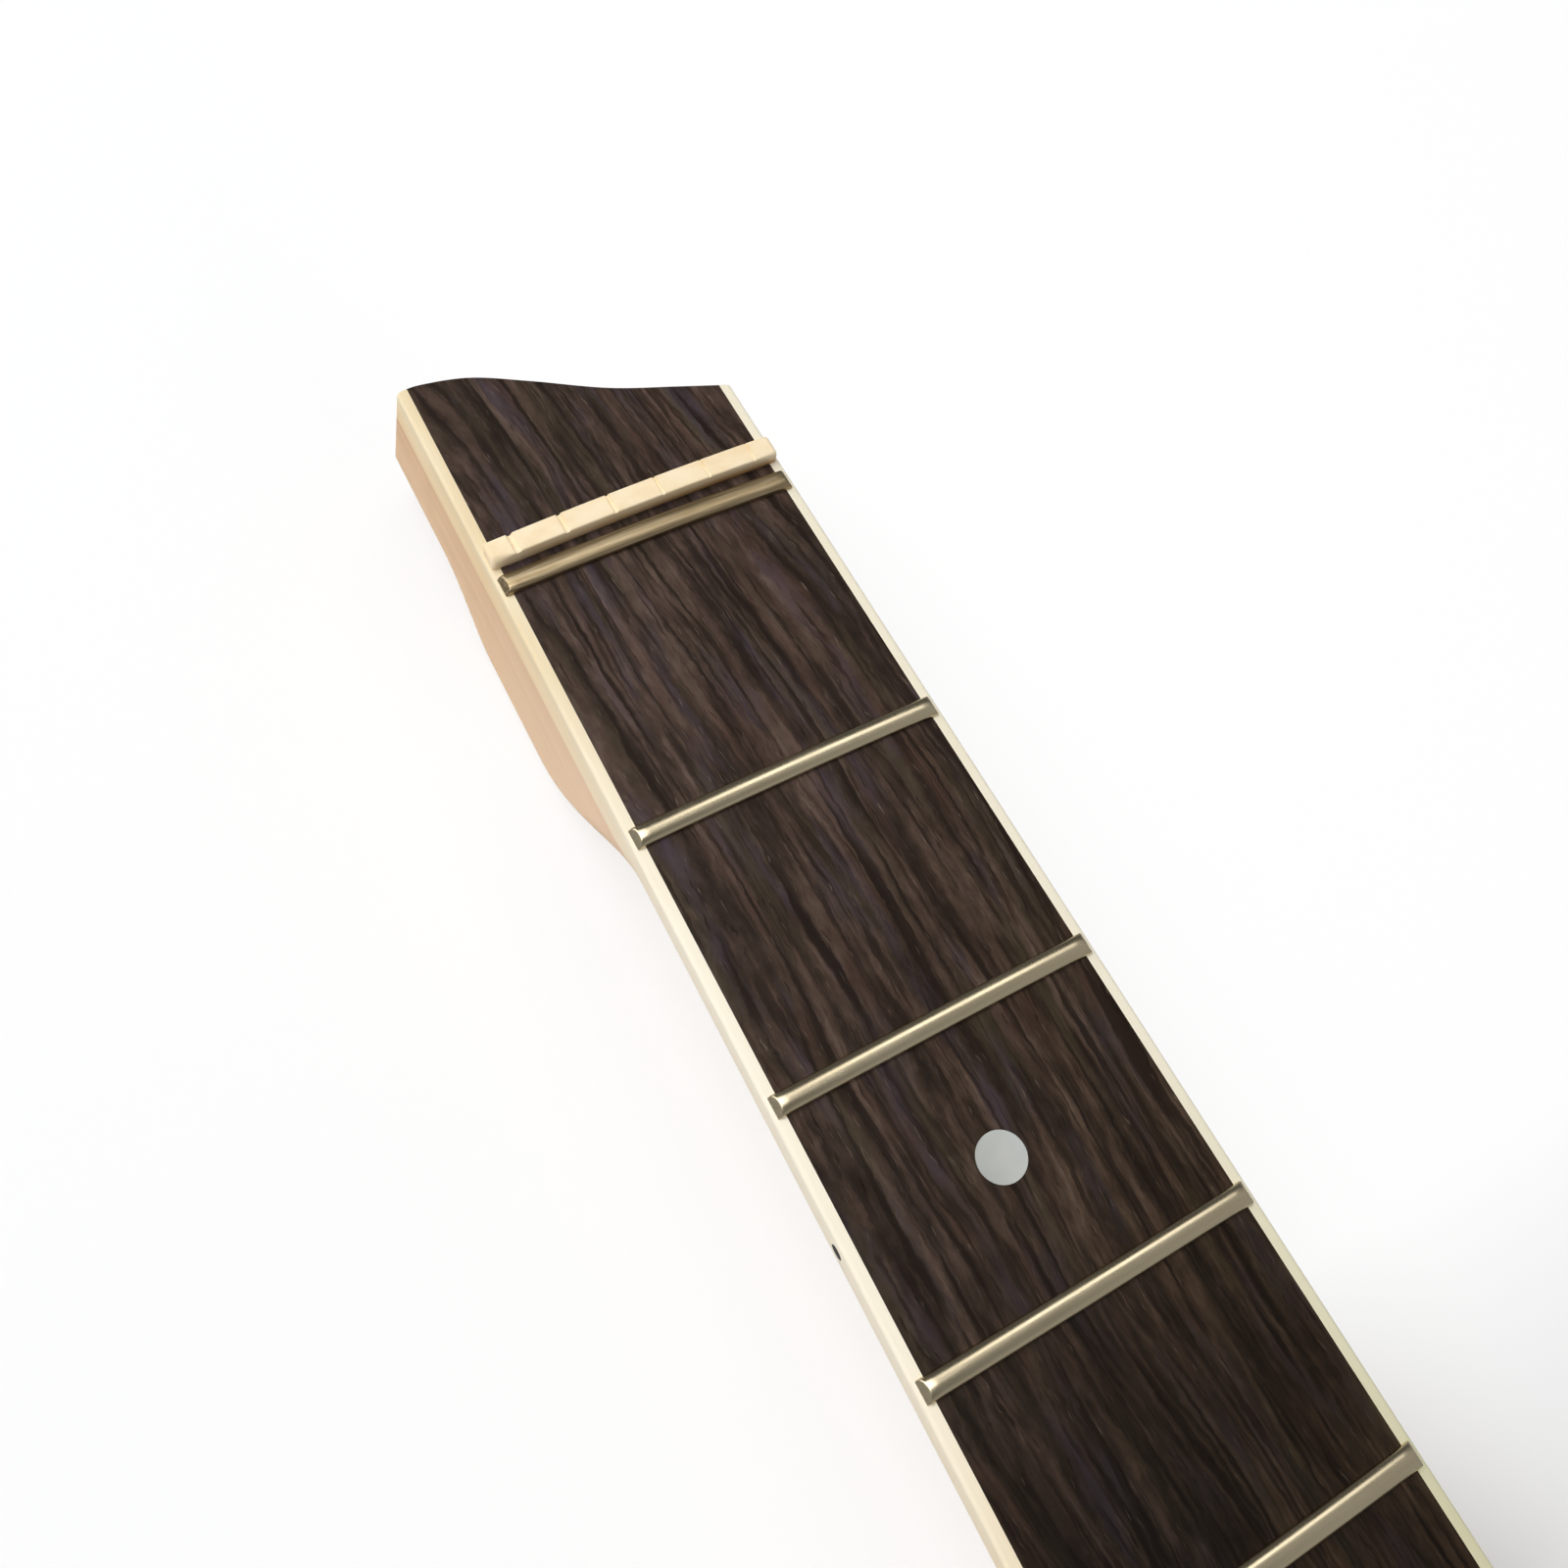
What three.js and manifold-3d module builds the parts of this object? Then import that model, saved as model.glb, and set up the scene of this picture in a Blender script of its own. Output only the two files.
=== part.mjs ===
// Headless bolt-on electric guitar neck: a maple shaft with a bound, crowned
// fingerboard, a zero fret with a slotted nut behind it, 24 frets and a two-way
// truss rod that is turned from the heel end.
//
// Millimetres. +X runs from the heel to the head, +Y to the bass side and +Z out
// of the fingerboard. The origin is the middle of the heel's flat seat.
import * as THREE from "three";
import { mergeVertices } from "three/addons/utils/BufferGeometryUtils.js";
import Module from "manifold-3d";

// String scale and outline
const SCALE_LENGTH = 648;
const FRET_COUNT = 24;
const FRETS_PER_OCTAVE = 12;
const BOARD_PAST_LAST_FRET = 10;
const WIDTH_AT_ZERO_FRET = 41.5;
const WIDTH_AT_HEEL_END = 56;

// Head end: a wave cut, longer on the bass side, that leans out towards the back
const HEAD_LENGTH_BASS = 31.6;
const HEAD_LENGTH_TREBLE = 16.4;
const HEAD_END_LEAN_DEGREES = 12;
const WAVE_STEPS = 30;
// Each point is a share of the half width, treble to bass, and of the cut's rise
const WAVE_SHARES = [
  [-1.06, -0.02], [-0.67, 0.155], [-0.25, 0.36], [0.19, 0.68], [0.52, 0.905],
  [0.82, 1], [0.95, 1], [1, 0.965], [1.03, 0.9],
];

// Fingerboard
const BOARD_EDGE_THICKNESS = 6;
const CROWN_RADIUS = 350;
const CROWN_FACETS = 7;
const BINDING_THICKNESS = 1.5;
const GLUE_LINE = 0.05;

// Shaft depths, from the board's top edge down to the back
const HEAD_DEPTH = 20;
const VOLUTE_DEPTH = 26;
const NECK_DEPTH_AT_FIRST_FRET = 21;
const NECK_DEPTH_AT_HEEL = 23.5;
const HEEL_DEPTH = 26;

// Upright part of the shaft's sides, from the same edge
const HEAD_SIDE_HEIGHT = 17.6;
const VOLUTE_SIDE_HEIGHT = 22.8;
const NECK_SIDE_HEIGHT = 2;
const BLOCK_ROUNDNESS = 4;
const NECK_ROUNDNESS = 2;
const BACK_STEPS = 7;

// Volute, by distance from the zero fret towards the heel
const VOLUTE_RISE_START = -18;
const VOLUTE_RISE_END = -3;
const CARVE_START = 13;
const CARVE_END = 40;
const RISE_STEPS = 5;
const CARVE_STEPS = 11;

// Heel
const HEEL_LENGTH = 76;
const HEEL_SWEEP_LENGTH = 36;
const HEEL_SWEEP_RISE = 17;
const HEEL_SWEEP_STEPS = 8;
const SCREW_SPACING_ALONG = 51;
const SCREW_SPACING_ACROSS = 38;
const SCREW_PILOT_DIAMETER = 3.2;
const SCREW_PILOT_DEPTH = 15;

// Frets
const FRET_WIDTH = 2.75;
const FRET_HEIGHT = 1.1;
const FRET_OVER_BINDING = 1;
const FRET_END_BEVEL_DEGREES = 32;
const TANG_THICKNESS = 0.5;
const TANG_DEPTH = 2;
const SLOT_CLEARANCE = 0.1;
// Half of the crown's outline, foot to crest, as shares of half width and height
const FRET_OUTLINE_SHARES = [[1, 0], [0.86, 0.6], [0.36, 1]];

// Nut, placed by its distance behind the zero fret
const NUT_FRONT_BEHIND_ZERO_FRET = 2.6;
const NUT_THICKNESS = 3.5;
const NUT_HEIGHT = 2;
const NUT_OVER_BINDING = 1;
const NUT_TONGUE_DEPTH = 2.5;
const NUT_EDGE_BEVEL = 0.4;
const NUT_SLOT_DEPTH = 0.8;
const NUT_SLOT_MARGIN = 3.5;
const STRING_SLOT_WIDTHS = [0.45, 0.5, 0.6, 0.8, 1, 1.2];

// Position markers
const SINGLE_MARKER_FRETS = [3, 5, 7, 9, 15, 17, 19, 21];
const DOUBLE_MARKER_FRETS = [12, 24];
const INLAY_DIAMETER = 6;
const INLAY_DEPTH = 1.5;
const INLAY_ROW_OFFSET = 1.5;
const INLAY_PAIR_SPACING = 20;
const INLAY_SIDES = 16;
const SIDE_DOT_DIAMETER = 2;
const SIDE_DOT_DEPTH = 1.1;
const SIDE_DOT_BELOW_EDGE = 2.6;
const SIDE_PAIR_GAP_SHARE = 0.38;
const MARKER_CLEARANCE = 0.1;

// Truss rod: a threaded rod and a flat bar joined by a block at each end
const TRUSS_LENGTH = 470;
const TRUSS_WIDTH = 6;
const TRUSS_HEIGHT = 9;
const TRUSS_BLOCK_LENGTH = 14;
const TRUSS_BAR_THICKNESS = 2.8;
const TRUSS_ROD_DIAMETER = 5;
const TRUSS_CLEARANCE = 0.3;
const ADJUSTER_DIAMETER = 6;
const ADJUSTER_LENGTH = 13;
const ADJUSTER_RECESS = 1.5;
const SOCKET_ACROSS_FLATS = 4;
const SOCKET_DEPTH = 6;
const ROUND_SIDES = 20;
const SMALL_ROUND_SIDES = 10;
const HEXAGON_SIDES = 6;

// Cuts run this far past the faces that they open
const OVERRUN = 2;

// Places along the neck
const heelEndX = -HEEL_LENGTH / 2;
const fretDistance = (n) => SCALE_LENGTH * (1 - 2 ** (-n / FRETS_PER_OCTAVE));
const boardLength = fretDistance(FRET_COUNT) + BOARD_PAST_LAST_FRET;
const zeroFretX = heelEndX + boardLength;
const fretX = (n) => zeroFretX - fretDistance(n);
const halfWidthAt = (x) => {
  const share = (zeroFretX - x) / boardLength;
  return (WIDTH_AT_ZERO_FRET + (WIDTH_AT_HEEL_END - WIDTH_AT_ZERO_FRET) * share) / 2;
};
const innerHalfWidthAt = (x) => halfWidthAt(x) - BINDING_THICKNESS;

// Heights
const edgeZ = HEEL_DEPTH;
const woodTopZ = edgeZ - BOARD_EDGE_THICKNESS;
const sagittaAt = (y) => CROWN_RADIUS - Math.sqrt(CROWN_RADIUS ** 2 - y ** 2);
const crownTopZ = edgeZ + sagittaAt(innerHalfWidthAt(zeroFretX));
const facetWidth = WIDTH_AT_HEEL_END / CROWN_FACETS;
const facetEdges = Array.from(
  { length: CROWN_FACETS + 1 },
  (_, i) => (i - CROWN_FACETS / 2) * facetWidth,
);
// The crown is faceted, so heights between two facet edges lie on their chord
const crownZ = (y) => {
  const low = facetEdges.findLast((edge) => edge <= y) ?? facetEdges[0];
  const from = Math.min(low, facetEdges[CROWN_FACETS - 1]);
  const share = (y - from) / facetWidth;
  const rise = sagittaAt(from) + (sagittaAt(from + facetWidth) - sagittaAt(from)) * share;
  return crownTopZ - rise;
};

const wasm = await Module();
wasm.setup();

// Solids from geometry, and back
function solidFrom(geometry) {
  const bare = geometry.clone();
  bare.deleteAttribute("normal");
  bare.deleteAttribute("uv");
  const merged = mergeVertices(bare);
  return new wasm.Manifold(new wasm.Mesh({
    numProp: 3,
    vertProperties: new Float32Array(merged.attributes.position.array),
    triVerts: new Uint32Array(merged.index.array),
  }));
}

function geometryFrom(solid) {
  const mesh = solid.getMesh();
  const geometry = new THREE.BufferGeometry();
  geometry.setAttribute("position", new THREE.BufferAttribute(mesh.vertProperties, 3));
  geometry.setIndex(new THREE.BufferAttribute(mesh.triVerts, 1));
  return geometry;
}

const cut = (solid, tools) => tools.reduce((rest, tool) => rest.subtract(tool), solid);

// A skin over rings of points that all have the same count, closed by flat ends
function loft(rings) {
  const count = rings[0].length;
  const positions = rings.flat().flatMap((p) => [p.x, p.y, p.z]);
  const faces = [];
  for (let r = 0; r + 1 < rings.length; r += 1) {
    for (let i = 0; i < count; i += 1) {
      const a = r * count + i;
      const b = r * count + ((i + 1) % count);
      faces.push(a, b, b + count, a, b + count, a + count);
    }
  }
  const last = (rings.length - 1) * count;
  for (let i = 1; i + 1 < count; i += 1) {
    faces.push(0, i + 1, i, last, last + i, last + i + 1);
  }
  const geometry = new THREE.BufferGeometry();
  geometry.setAttribute("position", new THREE.Float32BufferAttribute(positions, 3));
  geometry.setIndex(faces);
  return solidFrom(geometry);
}

function box(from, to) {
  const size = new THREE.Vector3().subVectors(to, from);
  const middle = new THREE.Vector3().addVectors(from, to).multiplyScalar(1 / 2);
  const geometry = new THREE.BoxGeometry(size.x, size.y, size.z);
  return solidFrom(geometry.translate(middle.x, middle.y, middle.z));
}

const at = (x, y, z) => new THREE.Vector3(x, y, z);

// An upright prism over an outline in the XY plane
function prism(points, lowZ, highZ) {
  const shape = new THREE.Shape(points);
  const geometry = new THREE.ExtrudeGeometry(shape, {
    depth: highZ - lowZ,
    bevelEnabled: false,
  });
  return geometry.translate(0, 0, lowZ);
}

// A round or hexagonal bar along one axis, from a point
function bar(radius, sides, start, length, axis) {
  const geometry = new THREE.CylinderGeometry(radius, radius, length, sides);
  geometry.translate(0, length / 2, 0);
  if (axis === "x") geometry.rotateZ(-Math.PI / 2);
  if (axis === "z") geometry.rotateX(Math.PI / 2);
  return solidFrom(geometry.translate(start.x, start.y, start.z));
}

// Outer form of shaft and binding together

const smooth = (share) => {
  const s = Math.min(1, Math.max(0, share));
  return s * s * (3 - 2 * s);
};
const mix = (from, to, share) => from + (to - from) * share;

// The sides are upright to the foot of the binding from the heel's seat on
const sweepStartDistance = boardLength - HEEL_LENGTH - HEEL_SWEEP_LENGTH;

function formAt(distance) {
  const rise = smooth(
    (distance - VOLUTE_RISE_START) / (VOLUTE_RISE_END - VOLUTE_RISE_START),
  );
  const carve = smooth((distance - CARVE_START) / (CARVE_END - CARVE_START));
  const along = Math.max(0, (distance - CARVE_END) / (boardLength - CARVE_END));
  const neckDepth = mix(NECK_DEPTH_AT_FIRST_FRET, NECK_DEPTH_AT_HEEL, along);
  const heel = smooth((distance - sweepStartDistance) / HEEL_SWEEP_LENGTH);
  const neckSide = mix(NECK_SIDE_HEIGHT, BOARD_EDGE_THICKNESS, heel);
  return {
    depth: mix(mix(HEAD_DEPTH, VOLUTE_DEPTH, rise), neckDepth, carve),
    side: mix(mix(HEAD_SIDE_HEIGHT, VOLUTE_SIDE_HEIGHT, rise), neckSide, carve),
    roundness: mix(BLOCK_ROUNDNESS, NECK_ROUNDNESS, carve),
  };
}

// One cross-section: upright sides, then a back that follows a superellipse
function formRing(distance) {
  const x = zeroFretX - distance;
  const half = halfWidthAt(x);
  const { depth, side, roundness } = formAt(distance);
  const bassSide = [at(x, half, crownTopZ + OVERRUN), at(x, half, edgeZ - side)];
  for (let i = 1; i < BACK_STEPS; i += 1) {
    const angle = (Math.PI / 2) * (i / BACK_STEPS);
    bassSide.push(at(
      x,
      half * Math.cos(angle) ** (2 / roundness),
      edgeZ - side - (depth - side) * Math.sin(angle) ** (2 / roundness),
    ));
  }
  const trebleSide = bassSide.map((p) => at(p.x, -p.y, p.z)).reverse();
  return [...bassSide, at(x, 0, edgeZ - depth), ...trebleSide];
}

function outerForm() {
  const distances = [-HEAD_LENGTH_BASS - HEAD_DEPTH];
  for (let i = 0; i <= RISE_STEPS; i += 1) {
    distances.push(mix(VOLUTE_RISE_START, VOLUTE_RISE_END, i / RISE_STEPS));
  }
  for (let i = 0; i <= CARVE_STEPS; i += 1) {
    distances.push(mix(CARVE_START, CARVE_END, i / CARVE_STEPS));
  }
  for (let i = 0; i <= HEEL_SWEEP_STEPS; i += 1) {
    distances.push(sweepStartDistance + HEEL_SWEEP_LENGTH * (i / HEEL_SWEEP_STEPS));
  }
  distances.push(boardLength);
  return loft(distances.map(formRing));
}

// Everything on the heel side of the wave cut
function headEndKeep() {
  const widest = WIDTH_AT_HEEL_END / 2 + OVERRUN;
  const rise = HEAD_LENGTH_BASS - HEAD_LENGTH_TREBLE;
  const half = halfWidthAt(zeroFretX + HEAD_LENGTH_TREBLE);
  const wave = new THREE.SplineCurve(WAVE_SHARES.map(([across, along]) => new THREE.Vector2(
    zeroFretX + HEAD_LENGTH_TREBLE + rise * along,
    half * across,
  ))).getPoints(WAVE_STEPS);
  const first = wave[0];
  const last = wave[wave.length - 1];
  const outline = [
    new THREE.Vector2(heelEndX, -widest),
    new THREE.Vector2(first.x, -widest),
    ...wave,
    new THREE.Vector2(last.x, widest),
    new THREE.Vector2(heelEndX, widest),
  ];
  const lean = Math.tan(THREE.MathUtils.degToRad(HEAD_END_LEAN_DEGREES));
  const geometry = prism(outline, -OVERRUN, crownTopZ + OVERRUN);
  const position = geometry.attributes.position;
  for (let i = 0; i < position.count; i += 1) {
    const towardsHead = position.getX(i) > zeroFretX;
    const shift = towardsHead ? lean * (edgeZ - position.getZ(i)) : 0;
    position.setX(i, position.getX(i) + shift);
  }
  return solidFrom(geometry);
}

// The crowned slab from the shaft's top face, over the whole length
function crownedSlab(bottomZ) {
  const half = WIDTH_AT_HEEL_END / 2;
  const ringAt = (x) => [
    ...facetEdges.map((y) => at(x, y, crownZ(y))),
    at(x, half, bottomZ),
    at(x, -half, bottomZ),
  ].reverse();
  return loft([ringAt(heelEndX), ringAt(zeroFretX + HEAD_LENGTH_BASS + HEAD_DEPTH)]);
}

// A strip of the plan, from an inset on one side's edge to another line's y at x
function taperedStrip(edgeInset, otherLineAt, side) {
  const headX = zeroFretX + HEAD_LENGTH_BASS + HEAD_DEPTH;
  const outline = [
    new THREE.Vector2(heelEndX, side * (halfWidthAt(heelEndX) - edgeInset)),
    new THREE.Vector2(headX, side * (halfWidthAt(headX) - edgeInset)),
    new THREE.Vector2(headX, otherLineAt(headX)),
    new THREE.Vector2(heelEndX, otherLineAt(heelEndX)),
  ];
  const ordered = side > 0 ? outline.reverse() : outline;
  return solidFrom(prism(ordered, -OVERRUN, crownTopZ + OVERRUN));
}

const form = outerForm();
const keep = headEndKeep();
const slab = crownedSlab(woodTopZ + GLUE_LINE);

// A bar across the neck that follows the crown, for frets and nut: an outline of
// places along the neck and heights, with ends that lean in by the bevel
function overCrown(outline, halfLength, bevel, clearance) {
  const tallest = Math.max(...outline.map(([, height]) => height));
  const inner = facetEdges.filter((y) => Math.abs(y) < halfLength - bevel * tallest);
  const rings = [-halfLength, ...inner, halfLength].map((y) => outline.map(([x, height]) => {
    const isEnd = Math.abs(y) === halfLength;
    const placed = isEnd ? y - Math.sign(y) * bevel * Math.max(0, height) : y;
    return at(x, placed, crownZ(placed) + clearance + height);
  }));
  return loft(rings);
}

function maple() {
  return new THREE.MeshStandardMaterial({ color: 0xd9b891, roughness: 0.45, metalness: 0 });
}
function rosewood() {
  return new THREE.MeshStandardMaterial({ color: 0x3a2c27, roughness: 0.6, metalness: 0 });
}
function creamPlastic() {
  return new THREE.MeshStandardMaterial({ color: 0xf3e3c3, roughness: 0.35, metalness: 0 });
}
function bone() {
  return new THREE.MeshStandardMaterial({ color: 0xf6dfc0, roughness: 0.4, metalness: 0 });
}
function nickelSilver() {
  return new THREE.MeshStandardMaterial({ color: 0xb3a882, roughness: 0.25, metalness: 1 });
}
function pearl() {
  return new THREE.MeshStandardMaterial({ color: 0xd3d6d6, roughness: 0.2, metalness: 0 });
}
function blackPlastic() {
  return new THREE.MeshStandardMaterial({ color: 0x15130f, roughness: 0.4, metalness: 0 });
}
function steel() {
  return new THREE.MeshStandardMaterial({ color: 0x8d8f92, roughness: 0.35, metalness: 1 });
}

const group = new THREE.Group();

function addMesh(name, solid, material) {
  const mesh = new THREE.Mesh(geometryFrom(solid), material);
  mesh.name = name;
  group.add(mesh);
}

// Truss rod

const channelFloorZ = woodTopZ - TRUSS_HEIGHT - 2 * TRUSS_CLEARANCE;
const trussBottomZ = channelFloorZ + TRUSS_CLEARANCE;
const trussTopZ = trussBottomZ + TRUSS_HEIGHT;
const rodZ = trussBottomZ + TRUSS_WIDTH / 2;
const adjusterX = heelEndX + ADJUSTER_RECESS;
const heelBlockX = adjusterX + ADJUSTER_LENGTH + TRUSS_CLEARANCE;
const trussHeadX = heelEndX + TRUSS_LENGTH;
const headBlockX = trussHeadX - TRUSS_BLOCK_LENGTH;

function trussChannel() {
  const half = TRUSS_WIDTH / 2 + TRUSS_CLEARANCE;
  return box(
    at(heelEndX - OVERRUN, -half, channelFloorZ),
    at(trussHeadX + TRUSS_CLEARANCE, half, woodTopZ + OVERRUN),
  );
}

function trussBlock(x) {
  const block = box(
    at(x, -TRUSS_WIDTH / 2, trussBottomZ),
    at(x + TRUSS_BLOCK_LENGTH, TRUSS_WIDTH / 2, trussTopZ),
  );
  const boreRadius = TRUSS_ROD_DIAMETER / 2 + TRUSS_CLEARANCE / 2;
  const boreLength = TRUSS_BLOCK_LENGTH + 2 * OVERRUN;
  return block.subtract(bar(boreRadius, ROUND_SIDES, at(x - OVERRUN, 0, rodZ), boreLength, "x"));
}

function addTrussRod() {
  const rodStart = adjusterX + ADJUSTER_LENGTH + GLUE_LINE;
  const rodLength = trussHeadX - rodStart;
  const rod = bar(TRUSS_ROD_DIAMETER / 2, ROUND_SIDES, at(rodStart, 0, rodZ), rodLength, "x");
  addMesh("truss_rod", rod, steel());

  const barrelStart = at(adjusterX, 0, rodZ);
  const barrel = bar(ADJUSTER_DIAMETER / 2, ROUND_SIDES, barrelStart, ADJUSTER_LENGTH, "x");
  // A hexagon's corners lie on a circle of its width over the root of three
  const socketRadius = SOCKET_ACROSS_FLATS / Math.sqrt(3);
  const socketStart = at(adjusterX - OVERRUN, 0, rodZ);
  const socket = bar(socketRadius, HEXAGON_SIDES, socketStart, SOCKET_DEPTH + OVERRUN, "x");
  addMesh("truss_adjuster", barrel.subtract(socket), steel());

  addMesh("truss_block_heel", trussBlock(heelBlockX), steel());
  addMesh("truss_block_head", trussBlock(headBlockX), steel());
  const flatStartX = heelBlockX + TRUSS_BLOCK_LENGTH + GLUE_LINE;
  const flat = box(
    at(flatStartX, -TRUSS_WIDTH / 2, trussTopZ - TRUSS_BAR_THICKNESS),
    at(headBlockX - GLUE_LINE, TRUSS_WIDTH / 2, trussTopZ),
  );
  addMesh("truss_bar", flat, steel());
}

// Shaft

// The heel block: a flat seat, then a hollow sweep up into the back of the neck
function heelBlock() {
  const seatEndX = heelEndX + HEEL_LENGTH;
  const profile = [[heelEndX, woodTopZ], [heelEndX, 0]];
  for (let i = 0; i <= HEEL_SWEEP_STEPS; i += 1) {
    const angle = (Math.PI / 2) * (i / HEEL_SWEEP_STEPS);
    profile.push([
      seatEndX + HEEL_SWEEP_LENGTH * Math.sin(angle),
      HEEL_SWEEP_RISE * (1 - Math.cos(angle)),
    ]);
  }
  profile.push([seatEndX + HEEL_SWEEP_LENGTH, woodTopZ]);
  const ringAt = (side) => profile.map(([x, z]) => at(x, side * halfWidthAt(x), z));
  const flat = profile.map(([x, z]) => new THREE.Vector2(x, z));
  return skinBetween(ringAt(-1), ringAt(1), THREE.ShapeUtils.triangulateShape(flat, []));
}

// Two matching outlines joined by a skin, with the given faces at both ends
function skinBetween(near, far, faces) {
  const count = near.length;
  const index = [];
  for (let i = 0; i < count; i += 1) {
    const next = (i + 1) % count;
    index.push(i, next + count, next, i, i + count, next + count);
  }
  for (const [a, b, c] of faces) {
    index.push(a, b, c, a + count, c + count, b + count);
  }
  const geometry = new THREE.BufferGeometry();
  const positions = [...near, ...far].flatMap((p) => [p.x, p.y, p.z]);
  geometry.setAttribute("position", new THREE.Float32BufferAttribute(positions, 3));
  geometry.setIndex(index);
  return solidFrom(geometry);
}

function pilotHoles() {
  const holes = [];
  for (const along of [-1, 1]) {
    for (const across of [-1, 1]) {
      const start = at(along * SCREW_SPACING_ALONG / 2, across * SCREW_SPACING_ACROSS / 2, -OVERRUN);
      const radius = SCREW_PILOT_DIAMETER / 2;
      holes.push(bar(radius, SMALL_ROUND_SIDES, start, SCREW_PILOT_DEPTH + OVERRUN, "z"));
    }
  }
  return holes;
}

function addShaft() {
  const far = WIDTH_AT_HEEL_END;
  const headX = zeroFretX + HEAD_LENGTH_BASS + 2 * HEAD_DEPTH;
  const belowBoard = box(at(heelEndX, -far, -OVERRUN), at(headX, far, woodTopZ));
  const blank = form.intersect(belowBoard).add(heelBlock()).intersect(keep);
  addMesh("neck_shaft", cut(blank, [trussChannel(), ...pilotHoles()]), maple());
}

// Fret slots, markers and nut slot in the board

const nutFrontX = zeroFretX + NUT_FRONT_BEHIND_ZERO_FRET;
const slotFloorZ = crownZ(WIDTH_AT_HEEL_END / 2) - TANG_DEPTH - SLOT_CLEARANCE;

function fretSlot(n) {
  const half = TANG_THICKNESS / 2 + SLOT_CLEARANCE;
  const far = WIDTH_AT_HEEL_END;
  return box(at(fretX(n) - half, -far, slotFloorZ), at(fretX(n) + half, far, crownTopZ + OVERRUN));
}

function nutSlot() {
  const far = WIDTH_AT_HEEL_END;
  const fall = sagittaAt(innerHalfWidthAt(nutFrontX));
  const floorZ = crownTopZ - fall - NUT_TONGUE_DEPTH - SLOT_CLEARANCE;
  return box(
    at(nutFrontX - SLOT_CLEARANCE, -far, floorZ),
    at(nutFrontX + NUT_THICKNESS + SLOT_CLEARANCE, far, crownTopZ + OVERRUN),
  );
}

const twoDigits = (n) => String(n).padStart(2, "0");
const markerX = (n) => (fretX(n - 1) + fretX(n)) / 2;

function inlayPlaces() {
  const single = SINGLE_MARKER_FRETS.map((n) => ({
    name: `inlay_dot_${twoDigits(n)}`, x: markerX(n), y: INLAY_ROW_OFFSET,
  }));
  const pairs = DOUBLE_MARKER_FRETS.flatMap((n) => [["treble", -1], ["bass", 1]].map(([label, side]) => ({
    name: `inlay_dot_${twoDigits(n)}_${label}`,
    x: markerX(n),
    y: INLAY_ROW_OFFSET + side * INLAY_PAIR_SPACING / 2,
  })));
  return [...single, ...pairs];
}

function sideDotPlaces() {
  const single = SINGLE_MARKER_FRETS.map((n) => ({
    name: `side_dot_${twoDigits(n)}`, x: markerX(n),
  }));
  const pairs = DOUBLE_MARKER_FRETS.flatMap((n) => [["head", 1], ["heel", -1]].map(([label, side]) => ({
    name: `side_dot_${twoDigits(n)}_${label}`,
    x: markerX(n) + side * SIDE_PAIR_GAP_SHARE * (fretX(n - 1) - fretX(n)) / 2,
  })));
  return [...single, ...pairs];
}

function addFingerboard() {
  const inset = BINDING_THICKNESS + GLUE_LINE;
  const plan = taperedStrip(inset, (x) => inset - halfWidthAt(x), 1);
  const heelFace = heelEndX + inset;
  const far = WIDTH_AT_HEEL_END;
  const endTrim = box(at(heelEndX - OVERRUN, -far, 0), at(heelFace, far, crownTopZ + OVERRUN));
  const slots = Array.from({ length: FRET_COUNT + 1 }, (_, n) => fretSlot(n));
  const pocketRadius = INLAY_DIAMETER / 2 + MARKER_CLEARANCE;
  const pocketFloorZ = crownTopZ - INLAY_DEPTH - MARKER_CLEARANCE;
  const pockets = inlayPlaces().map(({ x, y }) => bar(
    pocketRadius, INLAY_SIDES, at(x, y, pocketFloorZ), INLAY_DEPTH + OVERRUN, "z",
  ));
  const board = slab.intersect(plan).intersect(keep);
  addMesh("fingerboard", cut(board, [endTrim, nutSlot(), ...slots, ...pockets]), rosewood());
}

function addInlays() {
  for (const { name, x, y } of inlayPlaces()) {
    const start = at(x, y, crownTopZ - INLAY_DEPTH);
    const blank = bar(INLAY_DIAMETER / 2, INLAY_SIDES, start, INLAY_DEPTH + OVERRUN, "z");
    addMesh(name, blank.intersect(slab), pearl());
  }
}

// Binding

function sideDot(x, radius, depth) {
  const start = at(x, halfWidthAt(x) - depth, edgeZ - SIDE_DOT_BELOW_EDGE);
  return bar(radius, SMALL_ROUND_SIDES, start, depth + OVERRUN, "y");
}

function addBindings() {
  const stripOn = (side) => taperedStrip(0, (x) => side * innerHalfWidthAt(x), side)
    .intersect(slab).intersect(form).intersect(keep);
  const pocketRadius = SIDE_DOT_DIAMETER / 2 + MARKER_CLEARANCE;
  const pocketDepth = SIDE_DOT_DEPTH + MARKER_CLEARANCE;
  const pockets = sideDotPlaces().map(({ x }) => sideDot(x, pocketRadius, pocketDepth));
  addMesh("binding_bass", cut(stripOn(1), pockets), creamPlastic());
  addMesh("binding_treble", stripOn(-1), creamPlastic());

  const half = innerHalfWidthAt(heelEndX) - GLUE_LINE;
  const endStrip = box(
    at(heelEndX, -half, 0),
    at(heelEndX + BINDING_THICKNESS, half, crownTopZ + OVERRUN),
  );
  const sides = taperedStrip(BINDING_THICKNESS + GLUE_LINE, (x) => GLUE_LINE - innerHalfWidthAt(x), 1);
  addMesh("binding_heel_end", endStrip.intersect(slab).intersect(sides), creamPlastic());
}

function addSideDots() {
  for (const { name, x } of sideDotPlaces()) {
    const dot = sideDot(x, SIDE_DOT_DIAMETER / 2, SIDE_DOT_DEPTH);
    addMesh(name, dot.intersect(form), blackPlastic());
  }
}

// Frets

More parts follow.
